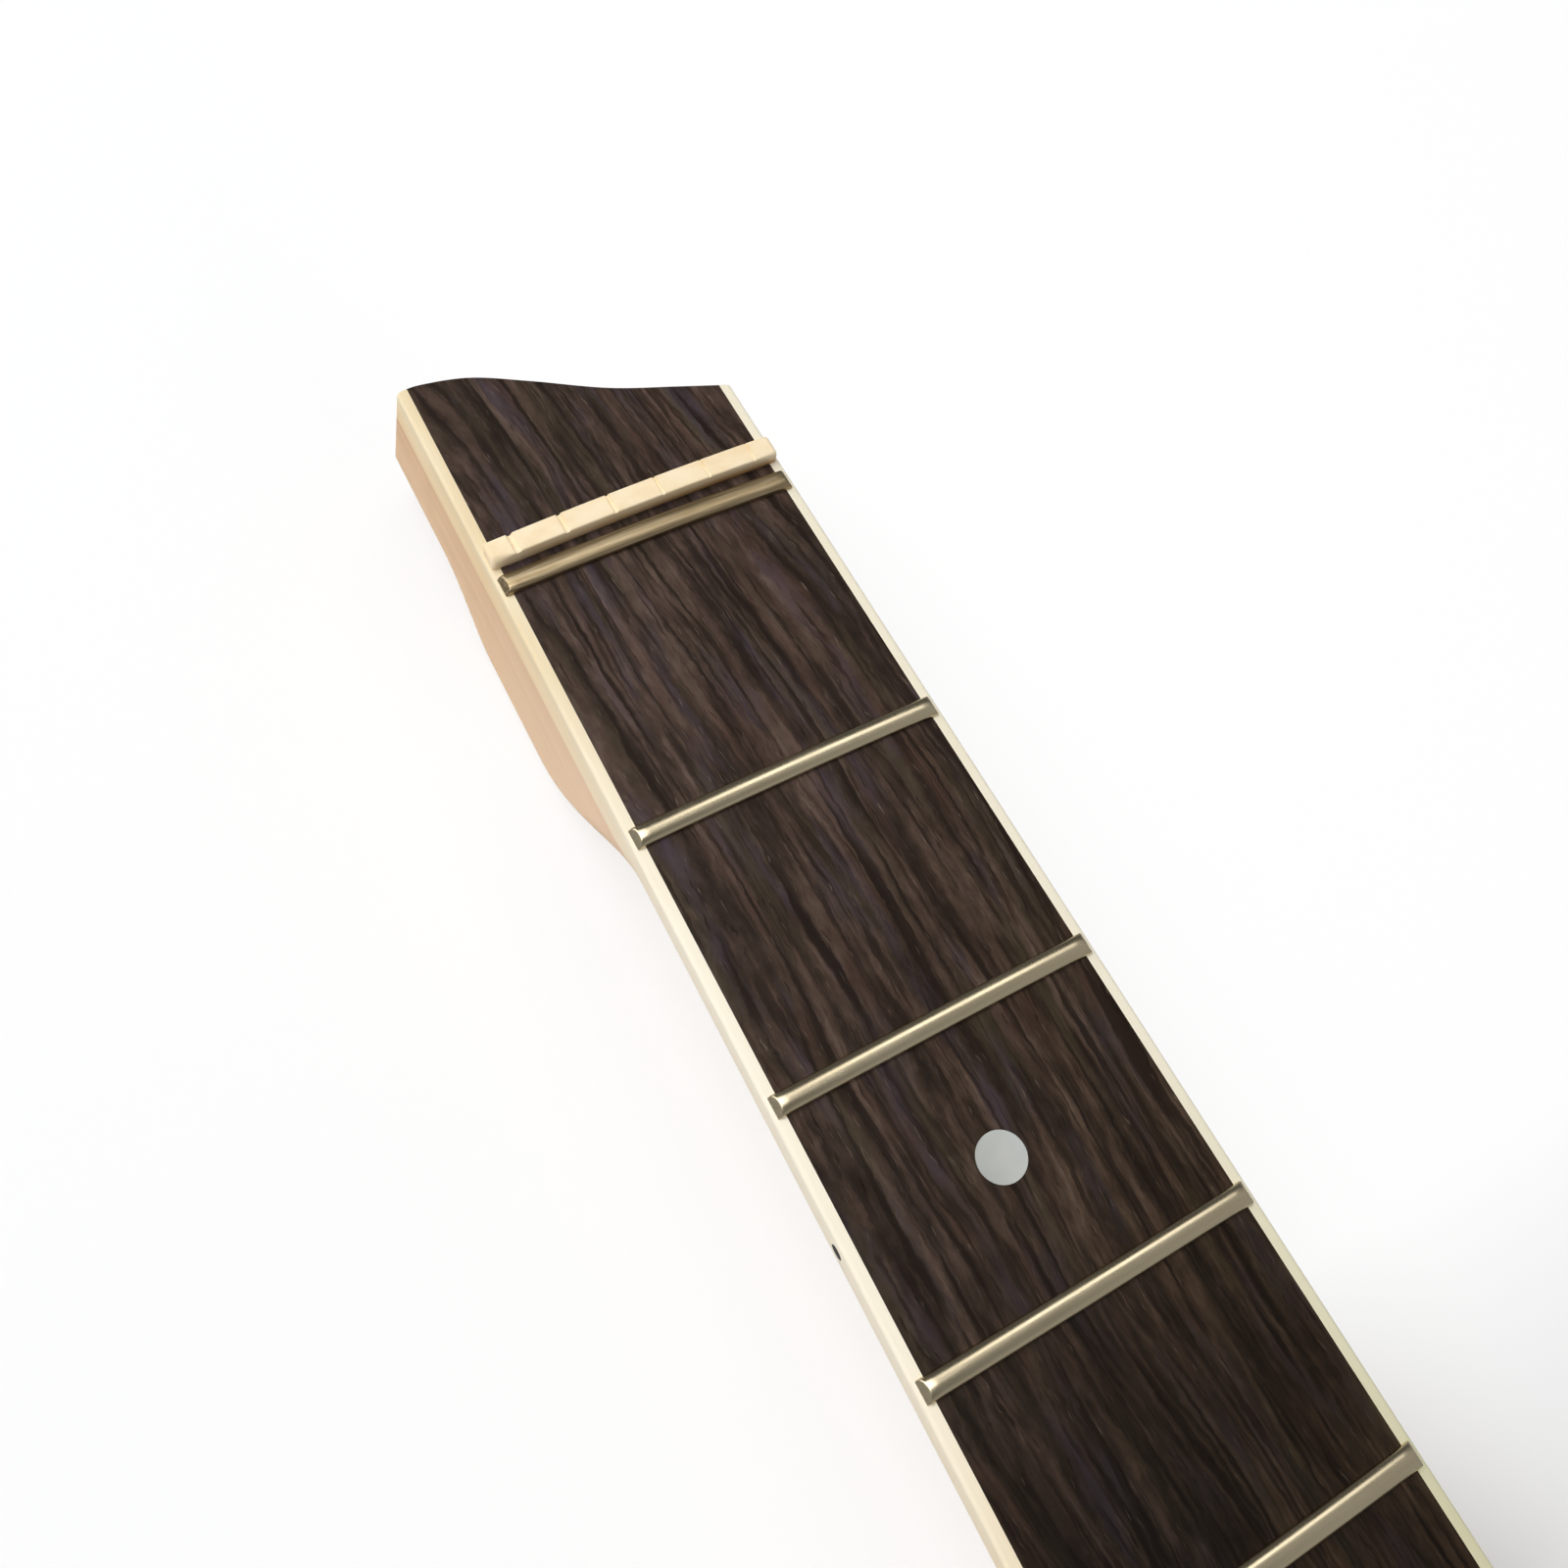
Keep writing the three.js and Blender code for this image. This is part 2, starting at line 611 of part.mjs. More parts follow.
const fretOutline = [
  ...FRET_OUTLINE_SHARES.map(([across, up]) => [-across * FRET_WIDTH / 2, up * FRET_HEIGHT]),
  ...FRET_OUTLINE_SHARES.map(([across, up]) => [across * FRET_WIDTH / 2, up * FRET_HEIGHT]).reverse(),
];

function addFret(name, n) {
  const x = fretX(n);
  const bevel = Math.tan(THREE.MathUtils.degToRad(FRET_END_BEVEL_DEGREES));
  const crownOutline = fretOutline.map(([dx, height]) => [x + dx, height]);
  const halfLength = innerHalfWidthAt(x) + FRET_OVER_BINDING;
  const crown = overCrown(crownOutline, halfLength, bevel, GLUE_LINE);
  const half = TANG_THICKNESS / 2;
  const tangTop = FRET_HEIGHT / 2;
  const tangOutline = [
    [x - half, -TANG_DEPTH], [x - half, tangTop],
    [x + half, tangTop], [x + half, -TANG_DEPTH],
  ];
  const tangHalf = innerHalfWidthAt(x) - BINDING_THICKNESS;
  const tang = overCrown(tangOutline, tangHalf, 0, GLUE_LINE);
  addMesh(name, crown.add(tang), nickelSilver());
}

// Nut

function addNut() {
  const backX = nutFrontX + NUT_THICKNESS;
  const outline = [
    [nutFrontX, 0],
    [nutFrontX, NUT_HEIGHT - NUT_EDGE_BEVEL],
    [nutFrontX + NUT_EDGE_BEVEL, NUT_HEIGHT],
    [backX - NUT_EDGE_BEVEL, NUT_HEIGHT],
    [backX, NUT_HEIGHT - NUT_EDGE_BEVEL],
    [backX, 0],
  ];
  const halfLength = innerHalfWidthAt(nutFrontX) + NUT_OVER_BINDING;
  const bevel = NUT_EDGE_BEVEL / NUT_HEIGHT;
  const upper = overCrown(outline, halfLength, bevel, GLUE_LINE);
  const tongueHalf = innerHalfWidthAt(nutFrontX) - BINDING_THICKNESS;
  const tongueOutline = [
    [nutFrontX, -NUT_TONGUE_DEPTH], [nutFrontX, NUT_HEIGHT / 2],
    [backX, NUT_HEIGHT / 2], [backX, -NUT_TONGUE_DEPTH],
  ];
  const tongue = overCrown(tongueOutline, tongueHalf, 0, GLUE_LINE);
  const spread = 2 * (halfLength - NUT_SLOT_MARGIN);
  const slots = STRING_SLOT_WIDTHS.map((width, i) => {
    const y = spread * (i / (STRING_SLOT_WIDTHS.length - 1) - 1 / 2);
    const floorZ = crownZ(y) + NUT_HEIGHT - NUT_SLOT_DEPTH;
    return box(
      at(nutFrontX - OVERRUN, y - width / 2, floorZ),
      at(backX + OVERRUN, y + width / 2, crownTopZ + NUT_HEIGHT + OVERRUN),
    );
  });
  addMesh("nut", cut(upper.add(tongue), slots), bone());
}

addShaft();
addFingerboard();
addBindings();
addNut();
addFret("zero_fret", 0);
for (let n = 1; n <= FRET_COUNT; n += 1) addFret(`fret_${twoDigits(n)}`, n);
addInlays();
addSideDots();
addTrussRod();

export default group;
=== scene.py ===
import math

import bmesh
import bpy
import numpy as np
from mathutils import Matrix, Vector


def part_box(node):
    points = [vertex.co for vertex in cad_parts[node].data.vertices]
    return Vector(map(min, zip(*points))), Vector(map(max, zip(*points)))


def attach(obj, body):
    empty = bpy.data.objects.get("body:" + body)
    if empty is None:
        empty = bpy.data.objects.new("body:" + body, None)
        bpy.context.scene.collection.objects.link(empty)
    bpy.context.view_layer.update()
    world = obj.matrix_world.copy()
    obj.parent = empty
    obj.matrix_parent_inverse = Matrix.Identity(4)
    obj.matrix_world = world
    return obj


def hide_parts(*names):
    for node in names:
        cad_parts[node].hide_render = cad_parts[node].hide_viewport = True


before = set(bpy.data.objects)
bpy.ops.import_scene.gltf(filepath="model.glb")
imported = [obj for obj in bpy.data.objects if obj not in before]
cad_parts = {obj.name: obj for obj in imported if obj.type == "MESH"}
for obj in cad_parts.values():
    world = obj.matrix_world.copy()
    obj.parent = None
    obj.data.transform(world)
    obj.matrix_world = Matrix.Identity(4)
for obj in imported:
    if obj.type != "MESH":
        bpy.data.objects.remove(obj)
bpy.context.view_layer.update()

# Lengths below are in millimetres. Meshes are made in metres at the end.
MM = 0.001
# Points nearer than this are one, and a length below the next is none
SAME_PLACE = 1e-4
NO_LENGTH = 1e-6
# Edges that turn by more than this are shaded as sharp
SHARP_DEGREES = 34
NUT_SHARP_DEGREES = 50


def low(node):
    return np.array(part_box(node)[0]) / MM


def high(node):
    return np.array(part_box(node)[1]) / MM


def middle(node):
    return (low(node) + high(node)) / 2


def half_length(node):
    return (high(node) - middle(node))[0]


def nodes_named(start):
    return sorted(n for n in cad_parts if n.startswith(start))


# Board and binding
BOARD_THICKNESS = 6.0
CROWN_RADIUS = 350.0
BINDING = 1.5
EDGE_BREAK = 0.5
END_ROUND = 0.35
MARKER_GAP = 0.04
# Rings of a dot's face, as shares of its radius, its eased edge, and its sides
MARKER_RINGS = (0.45, 0.8)
MARKER_EASE = 0.05
INLAY_SIDES = 72
SIDE_DOT_SIDES = 48

# Frets
FRET_OVER_BINDING = 1.0
FRET_HEIGHT = 1.1
FRET_END_BEVEL = math.tan(math.radians(32))
FRET_END_ROUND = 0.22
FRET_END_EASE_SHARE = 0.16
FRET_END_NARROWING_SHARE = 0.6
FRET_END_TURNS = (0, 30, 55, 90)
FRET_FOOT_SHARE = 0.2
# Crowns: a power of a sine, fuller where it is smaller, and a power that moves the
# ridge towards the heel where it is below one
FRET_CROWN = (0.96, 1.0)
ZERO_FRET_CROWN = (0.68, 0.86)
TANG_THICKNESS = 0.5
TANG_DEPTH = 2.0
SLOT_CLEARANCE = 0.1

# Nut
NUT_HEIGHT = 2.0
NUT_OVER_BINDING = 1.0
NUT_TONGUE_DEPTH = 2.5
NUT_THICKNESS = 2.95
# The nut stands a little askew: its treble end is this much nearer the head
NUT_TURN = 0.5
NUT_ROUND = 0.25
NUT_FRONT_ROUND_AT_BASS_END = 1.0
NUT_FRONT_ROUND_AT_TREBLE_END = 0.5
NUT_SOFT_END = 3.5
NUT_END_ROUND = 0.6
NUT_END_NARROWING_SHARE = 0.16
NUT_SLOT_MARGIN = 3.5
STRING_SLOT_WIDTHS = (0.34, 0.4, 0.5, 0.62, 0.8, 1.0)
NUT_SLOT_DEPTH_AT_BACK = 0.7
NUT_SLOT_DEPTH_AT_FRONT = 0.24
# A plain string's slot is this much shallower than the thickest one's
NUT_SLOT_LEAST_SHARE = 0.25
NUT_SLOT_POWER = 2.2

# Shaft: depths below the board's top edge, and the upright part of the sides
HEAD_DEPTH = 20.0
VOLUTE_DEPTH = 26.0
NECK_DEPTH_AT_FIRST_FRET = 21.0
NECK_DEPTH_AT_HEEL = 23.5
HEAD_SIDE = 17.6
VOLUTE_SIDE = 22.8
NECK_SIDE = 2.0
BLOCK_ROUNDNESS = 4.0
NECK_ROUNDNESS = 2.0
HEEL_ROUNDNESS = 44.0
HEEL_FILLET = 7.0

# Distances from the zero fret towards the heel
VOLUTE_RISE = (-18.0, -3.0)
VOLUTE_CARVE = (13.0, 40.0)

# Heel
HEEL_LENGTH = 76.0
HEEL_SWEEP_LENGTH = 36.0
HEEL_SWEEP_RISE = 17.0
SCREW_SPACING = (51.0, 38.0)
PILOT_DIAMETER = 3.2
PILOT_DEPTH = 15.0
PILOT_CHAMFER = 0.4

# Head end: the wave's points are shares of the half width and of the cut's rise
HEAD_LENGTH_BASS = 31.6
HEAD_LENGTH_TREBLE = 16.4
HEAD_LEAN = math.tan(math.radians(12))
WAVE_SHARES = (
    (-1.06, -0.02), (-0.67, 0.155), (-0.25, 0.36), (0.19, 0.68), (0.52, 0.905),
    (0.82, 1), (0.95, 1), (1, 0.965), (1.03, 0.9),
)

# The board's grain turns off towards the head, as a slope that it comes near to
GRAIN_TURN_START = 50.0
GRAIN_TURN_LENGTH = 25.0
GRAIN_TURN = 0.085

# Truss rod
TRUSS_CLEARANCE = 0.3
SOCKET_ACROSS_FLATS = 4.0
SOCKET_DEPTH = 6.0
ADJUSTER_CHAMFER = 0.5

# Cuts run this far past the faces that they open
OVERRUN = 2.0

# Rounds of the searches for the outer form and for places on the head end
HALVINGS = 48
SETTLING_ROUNDS = 6
BINDING_OUTER_ROUNDS = 5
BINDING_INNER_ROUNDS = 3

# Places read from the frame
HEEL_X = low("neck_shaft")[0]
HEEL_SEAT_END = HEEL_X + HEEL_LENGTH
WOOD_TOP = high("neck_shaft")[2]
EDGE_Z = WOOD_TOP + BOARD_THICKNESS
FRET_NODES = ["zero_fret"] + nodes_named("fret_")
FRET_X = [middle(n)[0] for n in FRET_NODES]
ZERO_X = FRET_X[0]
VOLUTE_END = ZERO_X - VOLUTE_CARVE[1]
FRET_HALF_WIDTH = half_length("fret_01")
HALF_AT_ZERO = high("zero_fret")[1] - FRET_OVER_BINDING + BINDING
HALF_AT_HEEL = high("binding_bass")[1]
INLAY_NODES = nodes_named("inlay_dot_")
SIDE_DOT_NODES = nodes_named("side_dot_")


def half_at(x):
    """Half width of the neck with its bindings."""
    share = (ZERO_X - x) / (ZERO_X - HEEL_X)
    return HALF_AT_ZERO + (HALF_AT_HEEL - HALF_AT_ZERO) * share


def inner_at(x):
    """Half width of the board between its bindings."""
    return half_at(x) - BINDING


def sagitta(y):
    """How far the board's crown has fallen at y."""
    return CROWN_RADIUS - np.sqrt(CROWN_RADIUS**2 - np.square(y))


CROWN_TOP = EDGE_Z + sagitta(inner_at(ZERO_X))
NUT_HALF = inner_at(low("nut")[0]) + NUT_OVER_BINDING


def crown_z(y):
    return CROWN_TOP - sagitta(y)


def smooth(value, start, end):
    """Share of the way from start to end, leaving and arriving softly."""
    s = np.clip((value - start) / (end - start), 0, 1)
    return s * s * (3 - 2 * s)


def mix(a, b, share):
    return a + (b - a) * share


def catmull_rom(points, count):
    """Points along the uniform Catmull-Rom curve through the given ones."""
    points = np.array(points, float)
    padded = np.vstack([points[:1], points, points[-1:]])
    result = []
    for t in np.linspace(0, len(points) - 1, count):
        i = min(int(t), len(points) - 2)
        w = t - i
        p0, p1, p2, p3 = padded[i:i + 4]
        v0, v1 = (p2 - p0) / 2, (p3 - p1) / 2
        cube, square = 2 * p1 - 2 * p2 + v0 + v1, 3 * p2 - 3 * p1 - 2 * v0 - v1
        result.append(cube * w**3 + square * w**2 + v0 * w + p1)
    return np.array(result)


WAVE_SAMPLES = 400
# Ahead of here, rows across the neck turn by degrees into the wave
HEAD_START = ZERO_X + HEAD_LENGTH_TREBLE / 2
HEAD_ROWS = 18
WAVE = catmull_rom(WAVE_SHARES, WAVE_SAMPLES)
WAVE_Y = WAVE[:, 0] * half_at(ZERO_X + HEAD_LENGTH_TREBLE)
WAVE_X = ZERO_X + mix(HEAD_LENGTH_TREBLE, HEAD_LENGTH_BASS, WAVE[:, 1])


def head_end_x(y, z):
    """The head end's face: the wave at y, leaning out towards the back."""
    return np.interp(y, WAVE_Y, WAVE_X) + HEAD_LEAN * (EDGE_Z - z)


def form_at(x):
    """Depth, upright side and roundness of the section at x."""
    distance = ZERO_X - x
    rise = smooth(distance, *VOLUTE_RISE)
    carve = smooth(distance, *VOLUTE_CARVE)
    length = ZERO_X - HEEL_X
    along = np.maximum(0, (distance - VOLUTE_CARVE[1]) / (length - VOLUTE_CARVE[1]))
    seat_end = length - HEEL_LENGTH
    heel = smooth(distance, seat_end - HEEL_SWEEP_LENGTH, seat_end)
    neck_depth = mix(NECK_DEPTH_AT_FIRST_FRET, NECK_DEPTH_AT_HEEL, along)
    neck_side = mix(NECK_SIDE, BOARD_THICKNESS, heel)
    depth = mix(mix(HEAD_DEPTH, VOLUTE_DEPTH, rise), neck_depth, carve)
    side = mix(mix(HEAD_SIDE, VOLUTE_SIDE, rise), neck_side, carve)
    return depth, side, mix(BLOCK_ROUNDNESS, NECK_ROUNDNESS, carve)


def side_y(x, z):
    """Half width of the outer form at a height, for binding and side dots."""
    depth, side, roundness = form_at(x)
    fall = np.clip((EDGE_Z - side - z) / (depth - side), 0, 1)
    return half_at(x) * (1 - fall**roundness) ** (1 / roundness)


# Meshes


def add_object(name, data):
    obj = bpy.data.objects.new(name, data)
    bpy.context.scene.collection.objects.link(obj)
    return obj


def make_object(name, vertices, faces, sharp_degrees=SHARP_DEGREES):
    mesh = bpy.data.meshes.new(name)
    mesh.from_pydata((np.array(vertices, float) * MM).tolist(), [], faces)
    work = bmesh.new()
    work.from_mesh(mesh)
    bmesh.ops.remove_doubles(work, verts=work.verts, dist=SAME_PLACE * MM)
    bmesh.ops.recalc_face_normals(work, faces=work.faces)
    if work.calc_volume(signed=True) < 0:
        bmesh.ops.reverse_faces(work, faces=work.faces)
    work.to_mesh(mesh)
    work.free()
    shade(mesh, sharp_degrees)
    return add_object(name, mesh)


def shade(mesh, sharp_degrees):
    mesh.polygons.foreach_set("use_smooth", [True] * len(mesh.polygons))
    mesh.set_sharp_from_angle(angle=math.radians(sharp_degrees))


def bar_mesh(name, upper, lower, sharp_degrees=SHARP_DEGREES):
    """A closed bar: rings of an upper and a lower row of points, paired across."""
    upper, lower = np.array(upper, float), np.array(lower, float)
    rings, count, _ = upper.shape
    vertices = np.concatenate([upper, lower]).reshape(-1, 3)
    top, bottom = np.arange(2 * rings * count).reshape(2, rings, count).tolist()
    faces = []
    for here, there, under, beyond in zip(top, top[1:], bottom, bottom[1:]):
        for i in range(count - 1):
            faces.append((here[i], here[i + 1], there[i + 1], there[i]))
            faces.append((under[i], beyond[i], beyond[i + 1], under[i + 1]))
        for i in (0, -1):
            faces.append((here[i], there[i], beyond[i], under[i]))
    for r in (0, -1):
        for first, last in end_columns(upper[r]):
            faces.append((top[r][first], *bottom[r][first:last + 1], top[r][last]))
    return make_object(name, vertices, faces, sharp_degrees)


def end_columns(points):
    """Columns that each face of a bar's end spans: outer points in one place go together."""
    apart = np.linalg.norm(np.diff(points, axis=0), axis=1) > NO_LENGTH
    spans = [[i, i + 1] for i in np.flatnonzero(apart)]
    spans[0][0], spans[-1][1] = 0, len(points) - 1
    return spans


def ring_solid(name, vertices, sides):
    """A closed solid from rings of vertices, one ring after another."""
    rings = np.arange(len(vertices)).reshape(-1, sides).tolist()
    faces = []
    for here, there in zip(rings, rings[1:]):
        faces += zip(here, here[1:] + here[:1], there[1:] + there[:1], there)
    return make_object(name, vertices, faces + [rings[0], rings[-1]])


def round_plug(node, axis, top, surface, sides):
    """A dot let into a surface: its face follows the surface, its edge is eased."""
    out = "xyz".index(axis)
    across = 3 - out
    centre, radius = middle(node), half_length(node)
    flat = [(share, 0.0) for share in (*MARKER_RINGS, 1 - MARKER_EASE / radius)]
    vertices = []
    for share, drop in (*flat, (1.0, -MARKER_EASE), (1.0, low(node)[out] - top)):
        for k in range(sides):
            angle = 2 * math.pi * k / sides
            place = centre.copy()
            place[0] += radius * share * math.cos(angle)
            place[across] += radius * share * math.sin(angle)
            place[out] = surface(place[0], place[across]) + drop
            vertices.append(place)
    return ring_solid(node + "_fine", vertices, sides)


def pocket(node, axis, top, sides):
    """A cutter for a dot's pocket, a little larger than the dot."""
    out = "xyz".index(axis)
    start, radius = middle(node), half_length(node) + MARKER_GAP
    start[out] = low(node)[out] - MARKER_GAP
    profile = ((0, radius), (top + OVERRUN - start[out], radius))
    return turned("pocket", profile, start, axis, sides)


def turned(name, profile, start, axis, sides=64):
    """A closed turned solid: profile gives (distance along the axis, radius)."""
    vertices = []
    for along, radius in profile:
        for k in range(sides):
            angle = 2 * math.pi * (k + 0.5) / sides
            a, b = radius * math.cos(angle), radius * math.sin(angle)
            offset = {"x": (along, a, b), "y": (a, along, b), "z": (a, b, along)}[axis]
            vertices.append(np.add(start, offset))
    return ring_solid(name, vertices, sides)


def block(name, corner, opposite):
    (x0, y0, z0), (x1, y1, z1) = corner, opposite
    upper = [[(x, y0, z1), (x, y1, z1)] for x in (x0, x1)]
    lower = [[(x, y0, z0), (x, y1, z0)] for x in (x0, x1)]
    return bar_mesh(name, upper, lower)


def cut(obj, tools):
    """Cuts the tools out of the object and deletes them."""
    work = bmesh.new()
    for tool in tools:
        work.from_mesh(tool.data)
        bpy.data.objects.remove(tool)
    mesh = bpy.data.meshes.new("cutters")
    work.to_mesh(mesh)
    work.free()
    cutter = add_object("cutters", mesh)
    modifier = obj.modifiers.new("cut", "BOOLEAN")
    modifier.operation = "DIFFERENCE"
    modifier.solver = "EXACT"
    modifier.object = cutter
    evaluated = obj.evaluated_get(bpy.context.evaluated_depsgraph_get())
    result = bpy.data.meshes.new_from_object(evaluated)
    obj.modifiers.clear()
    obj.data = result
    bpy.data.objects.remove(cutter)
    shade(result, SHARP_DEGREES)


def finish_piece(obj, material, nodes, body="neck"):
    obj.data.materials.clear()
    obj.data.materials.append(material)
    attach(obj, body)
    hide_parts(*nodes)
    return obj


# Material nodes


class Nodes:
    """Short calls for the nodes of one tree."""

    def __init__(self, tree):
        self.tree = tree

    def node(self, kind, inputs=(), **properties):
        made = self.tree.nodes.new("ShaderNode" + kind)
        for name, value in properties.items():
            setattr(made, name, value)
        for name, value in dict(inputs).items():
            if isinstance(value, bpy.types.NodeSocket):
                self.tree.links.new(value, made.inputs[name])
            else:
                made.inputs[name].default_value = value
        return made

    def math(self, operation, a, b=0.0, clamp=False):
        return self.node("Math", {0: a, 1: b}, operation=operation, use_clamp=clamp).outputs[0]

    def times(self, product, *factors):
        for factor in factors:
            product = self.math("MULTIPLY", product, factor)
        return product

    def parts(self, vector):
        """The vector's parts along, across and up."""
        return tuple(self.node("SeparateXYZ", {"Vector": vector}).outputs)

    def noise(self, place, scale, shift=(0.0, 0.0, 0.0), detail=3, roughness=0.6, distortion=0.0):
        """Noise over a place that is stretched by the scale and then shifted."""
        vector = self.node("VectorMath", {0: place, 1: scale, 2: shift}, operation="MULTIPLY_ADD")
        inputs = {
            "Vector": vector.outputs[0], "Scale": 1.0, "Detail": detail,
            "Roughness": roughness, "Distortion": distortion,
        }
        return self.node("TexNoise", inputs, normalize=True).outputs["Fac"]

    def remap(self, value, from_low, from_high, to_low=0.0, to_high=1.0, curve="LINEAR"):
        inputs = {
            "Value": value, "From Min": from_low, "From Max": from_high,
            "To Min": to_low, "To Max": to_high,
        }
        return self.node("MapRange", inputs, clamp=True, interpolation_type=curve).outputs[0]

    def ramp(self, value, *stops):
        """A ramp of linear colours: each stop is a position with one share or with three."""
        made = self.node("ValToRGB", {"Fac": value})
        elements = made.color_ramp.elements
        while len(elements) < len(stops):
            elements.new(1.0)
        for element, (position, *parts) in zip(elements, stops):
            element.position = position
            element.color = (*(parts if len(parts) == 3 else parts * 3), 1.0)
        return made.outputs["Color"]

    def tones(self, value, *stops):
        """A ramp of display colours: each stop is a position, red, green and blue."""
        return self.ramp(value, *((position, *colour(*rest)) for position, *rest in stops))

    def blend(self, base, other, share, mode="MIX"):
        """The base mixed with a socket or with three linear values."""
        if not isinstance(other, bpy.types.NodeSocket):
            other = (*other, 1.0)
        made = self.node("Mix", {0: share, 6: base, 7: other}, data_type="RGBA", blend_type=mode)
        return made.outputs[2]

    def tint(self, base, other, share=1.0):
        return self.blend(base, other, share, "MULTIPLY")

    def bump(self, height, distance, strength=0.5):
        inputs = {"Height": height, "Distance": distance * MM, "Strength": strength}
        return self.node("Bump", inputs).outputs[0]


class Shader(Nodes):
    """A material of its own, whose surface takes its fixed values from the call."""

    def __init__(self, name, **fixed):
        self.material = bpy.data.materials.new(name)
        self.material.use_nodes = True
        super().__init__(self.material.node_tree)
        self.surface = self.tree.nodes["Principled BSDF"]
        for socket, value in fixed.items():
            self.surface.inputs[socket.replace("_", " ")].default_value = value

    def place(self):
        """Object coordinates in millimetres."""
        coordinates = self.node("TexCoord").outputs["Object"]
        scale = (1 / MM,) * 3
        return self.node("VectorMath", {0: coordinates, 1: scale}, operation="MULTIPLY").outputs[0]

    def across(self, place, shift):
        """The place moved across the neck."""
        offset = self.node("CombineXYZ", {"Y": shift}).outputs[0]
        return self.node("VectorMath", {0: place, 1: offset}, operation="ADD").outputs[0]

    def finished(self, base, roughness, normal=None):
        for name, socket in (("Base Color", base), ("Roughness", roughness), ("Normal", normal)):
            if socket:
                self.tree.links.new(socket, self.surface.inputs[name])
        return self.material


def colour(red, green, blue):
    """A display colour from 0 to 255, as the linear values that nodes take."""
    def linear(value):
        share = value / 255
        return share / 12.92 if share <= 0.04045 else ((share + 0.055) / 1.055) ** 2.4
    return linear(red), linear(green), linear(blue)


def board_grain(s, place, x):
    """The place as the board's grain runs: it turns off towards the head, and it wavers."""
    run = s.math("MAXIMUM", s.math("SUBTRACT", x, ZERO_X - GRAIN_TURN_START), 0.0)
    off = s.math("DIVIDE", s.times(run, run), s.math("ADD", run, GRAIN_TURN_LENGTH))
    shift = s.times(off, -GRAIN_TURN)
    # Slow drift, waves and small jags
    for scale, noise_shift, reach in (
        ((0.011, 0.04, 0.04), (0.0, 0.0, 0.0), 3.0),
        ((0.1, 0.22, 0.22), (7.0, 3.0, 0.0), 0.34),
        ((0.55, 0.9, 0.9), (0.0, 41.0, 0.0), 0.17),
    ):
        wave = s.noise(place, scale, noise_shift, detail=2)
        shift = s.math("ADD", shift, s.remap(wave, 0.2, 0.8, -reach, reach))
    return s.across(place, shift)


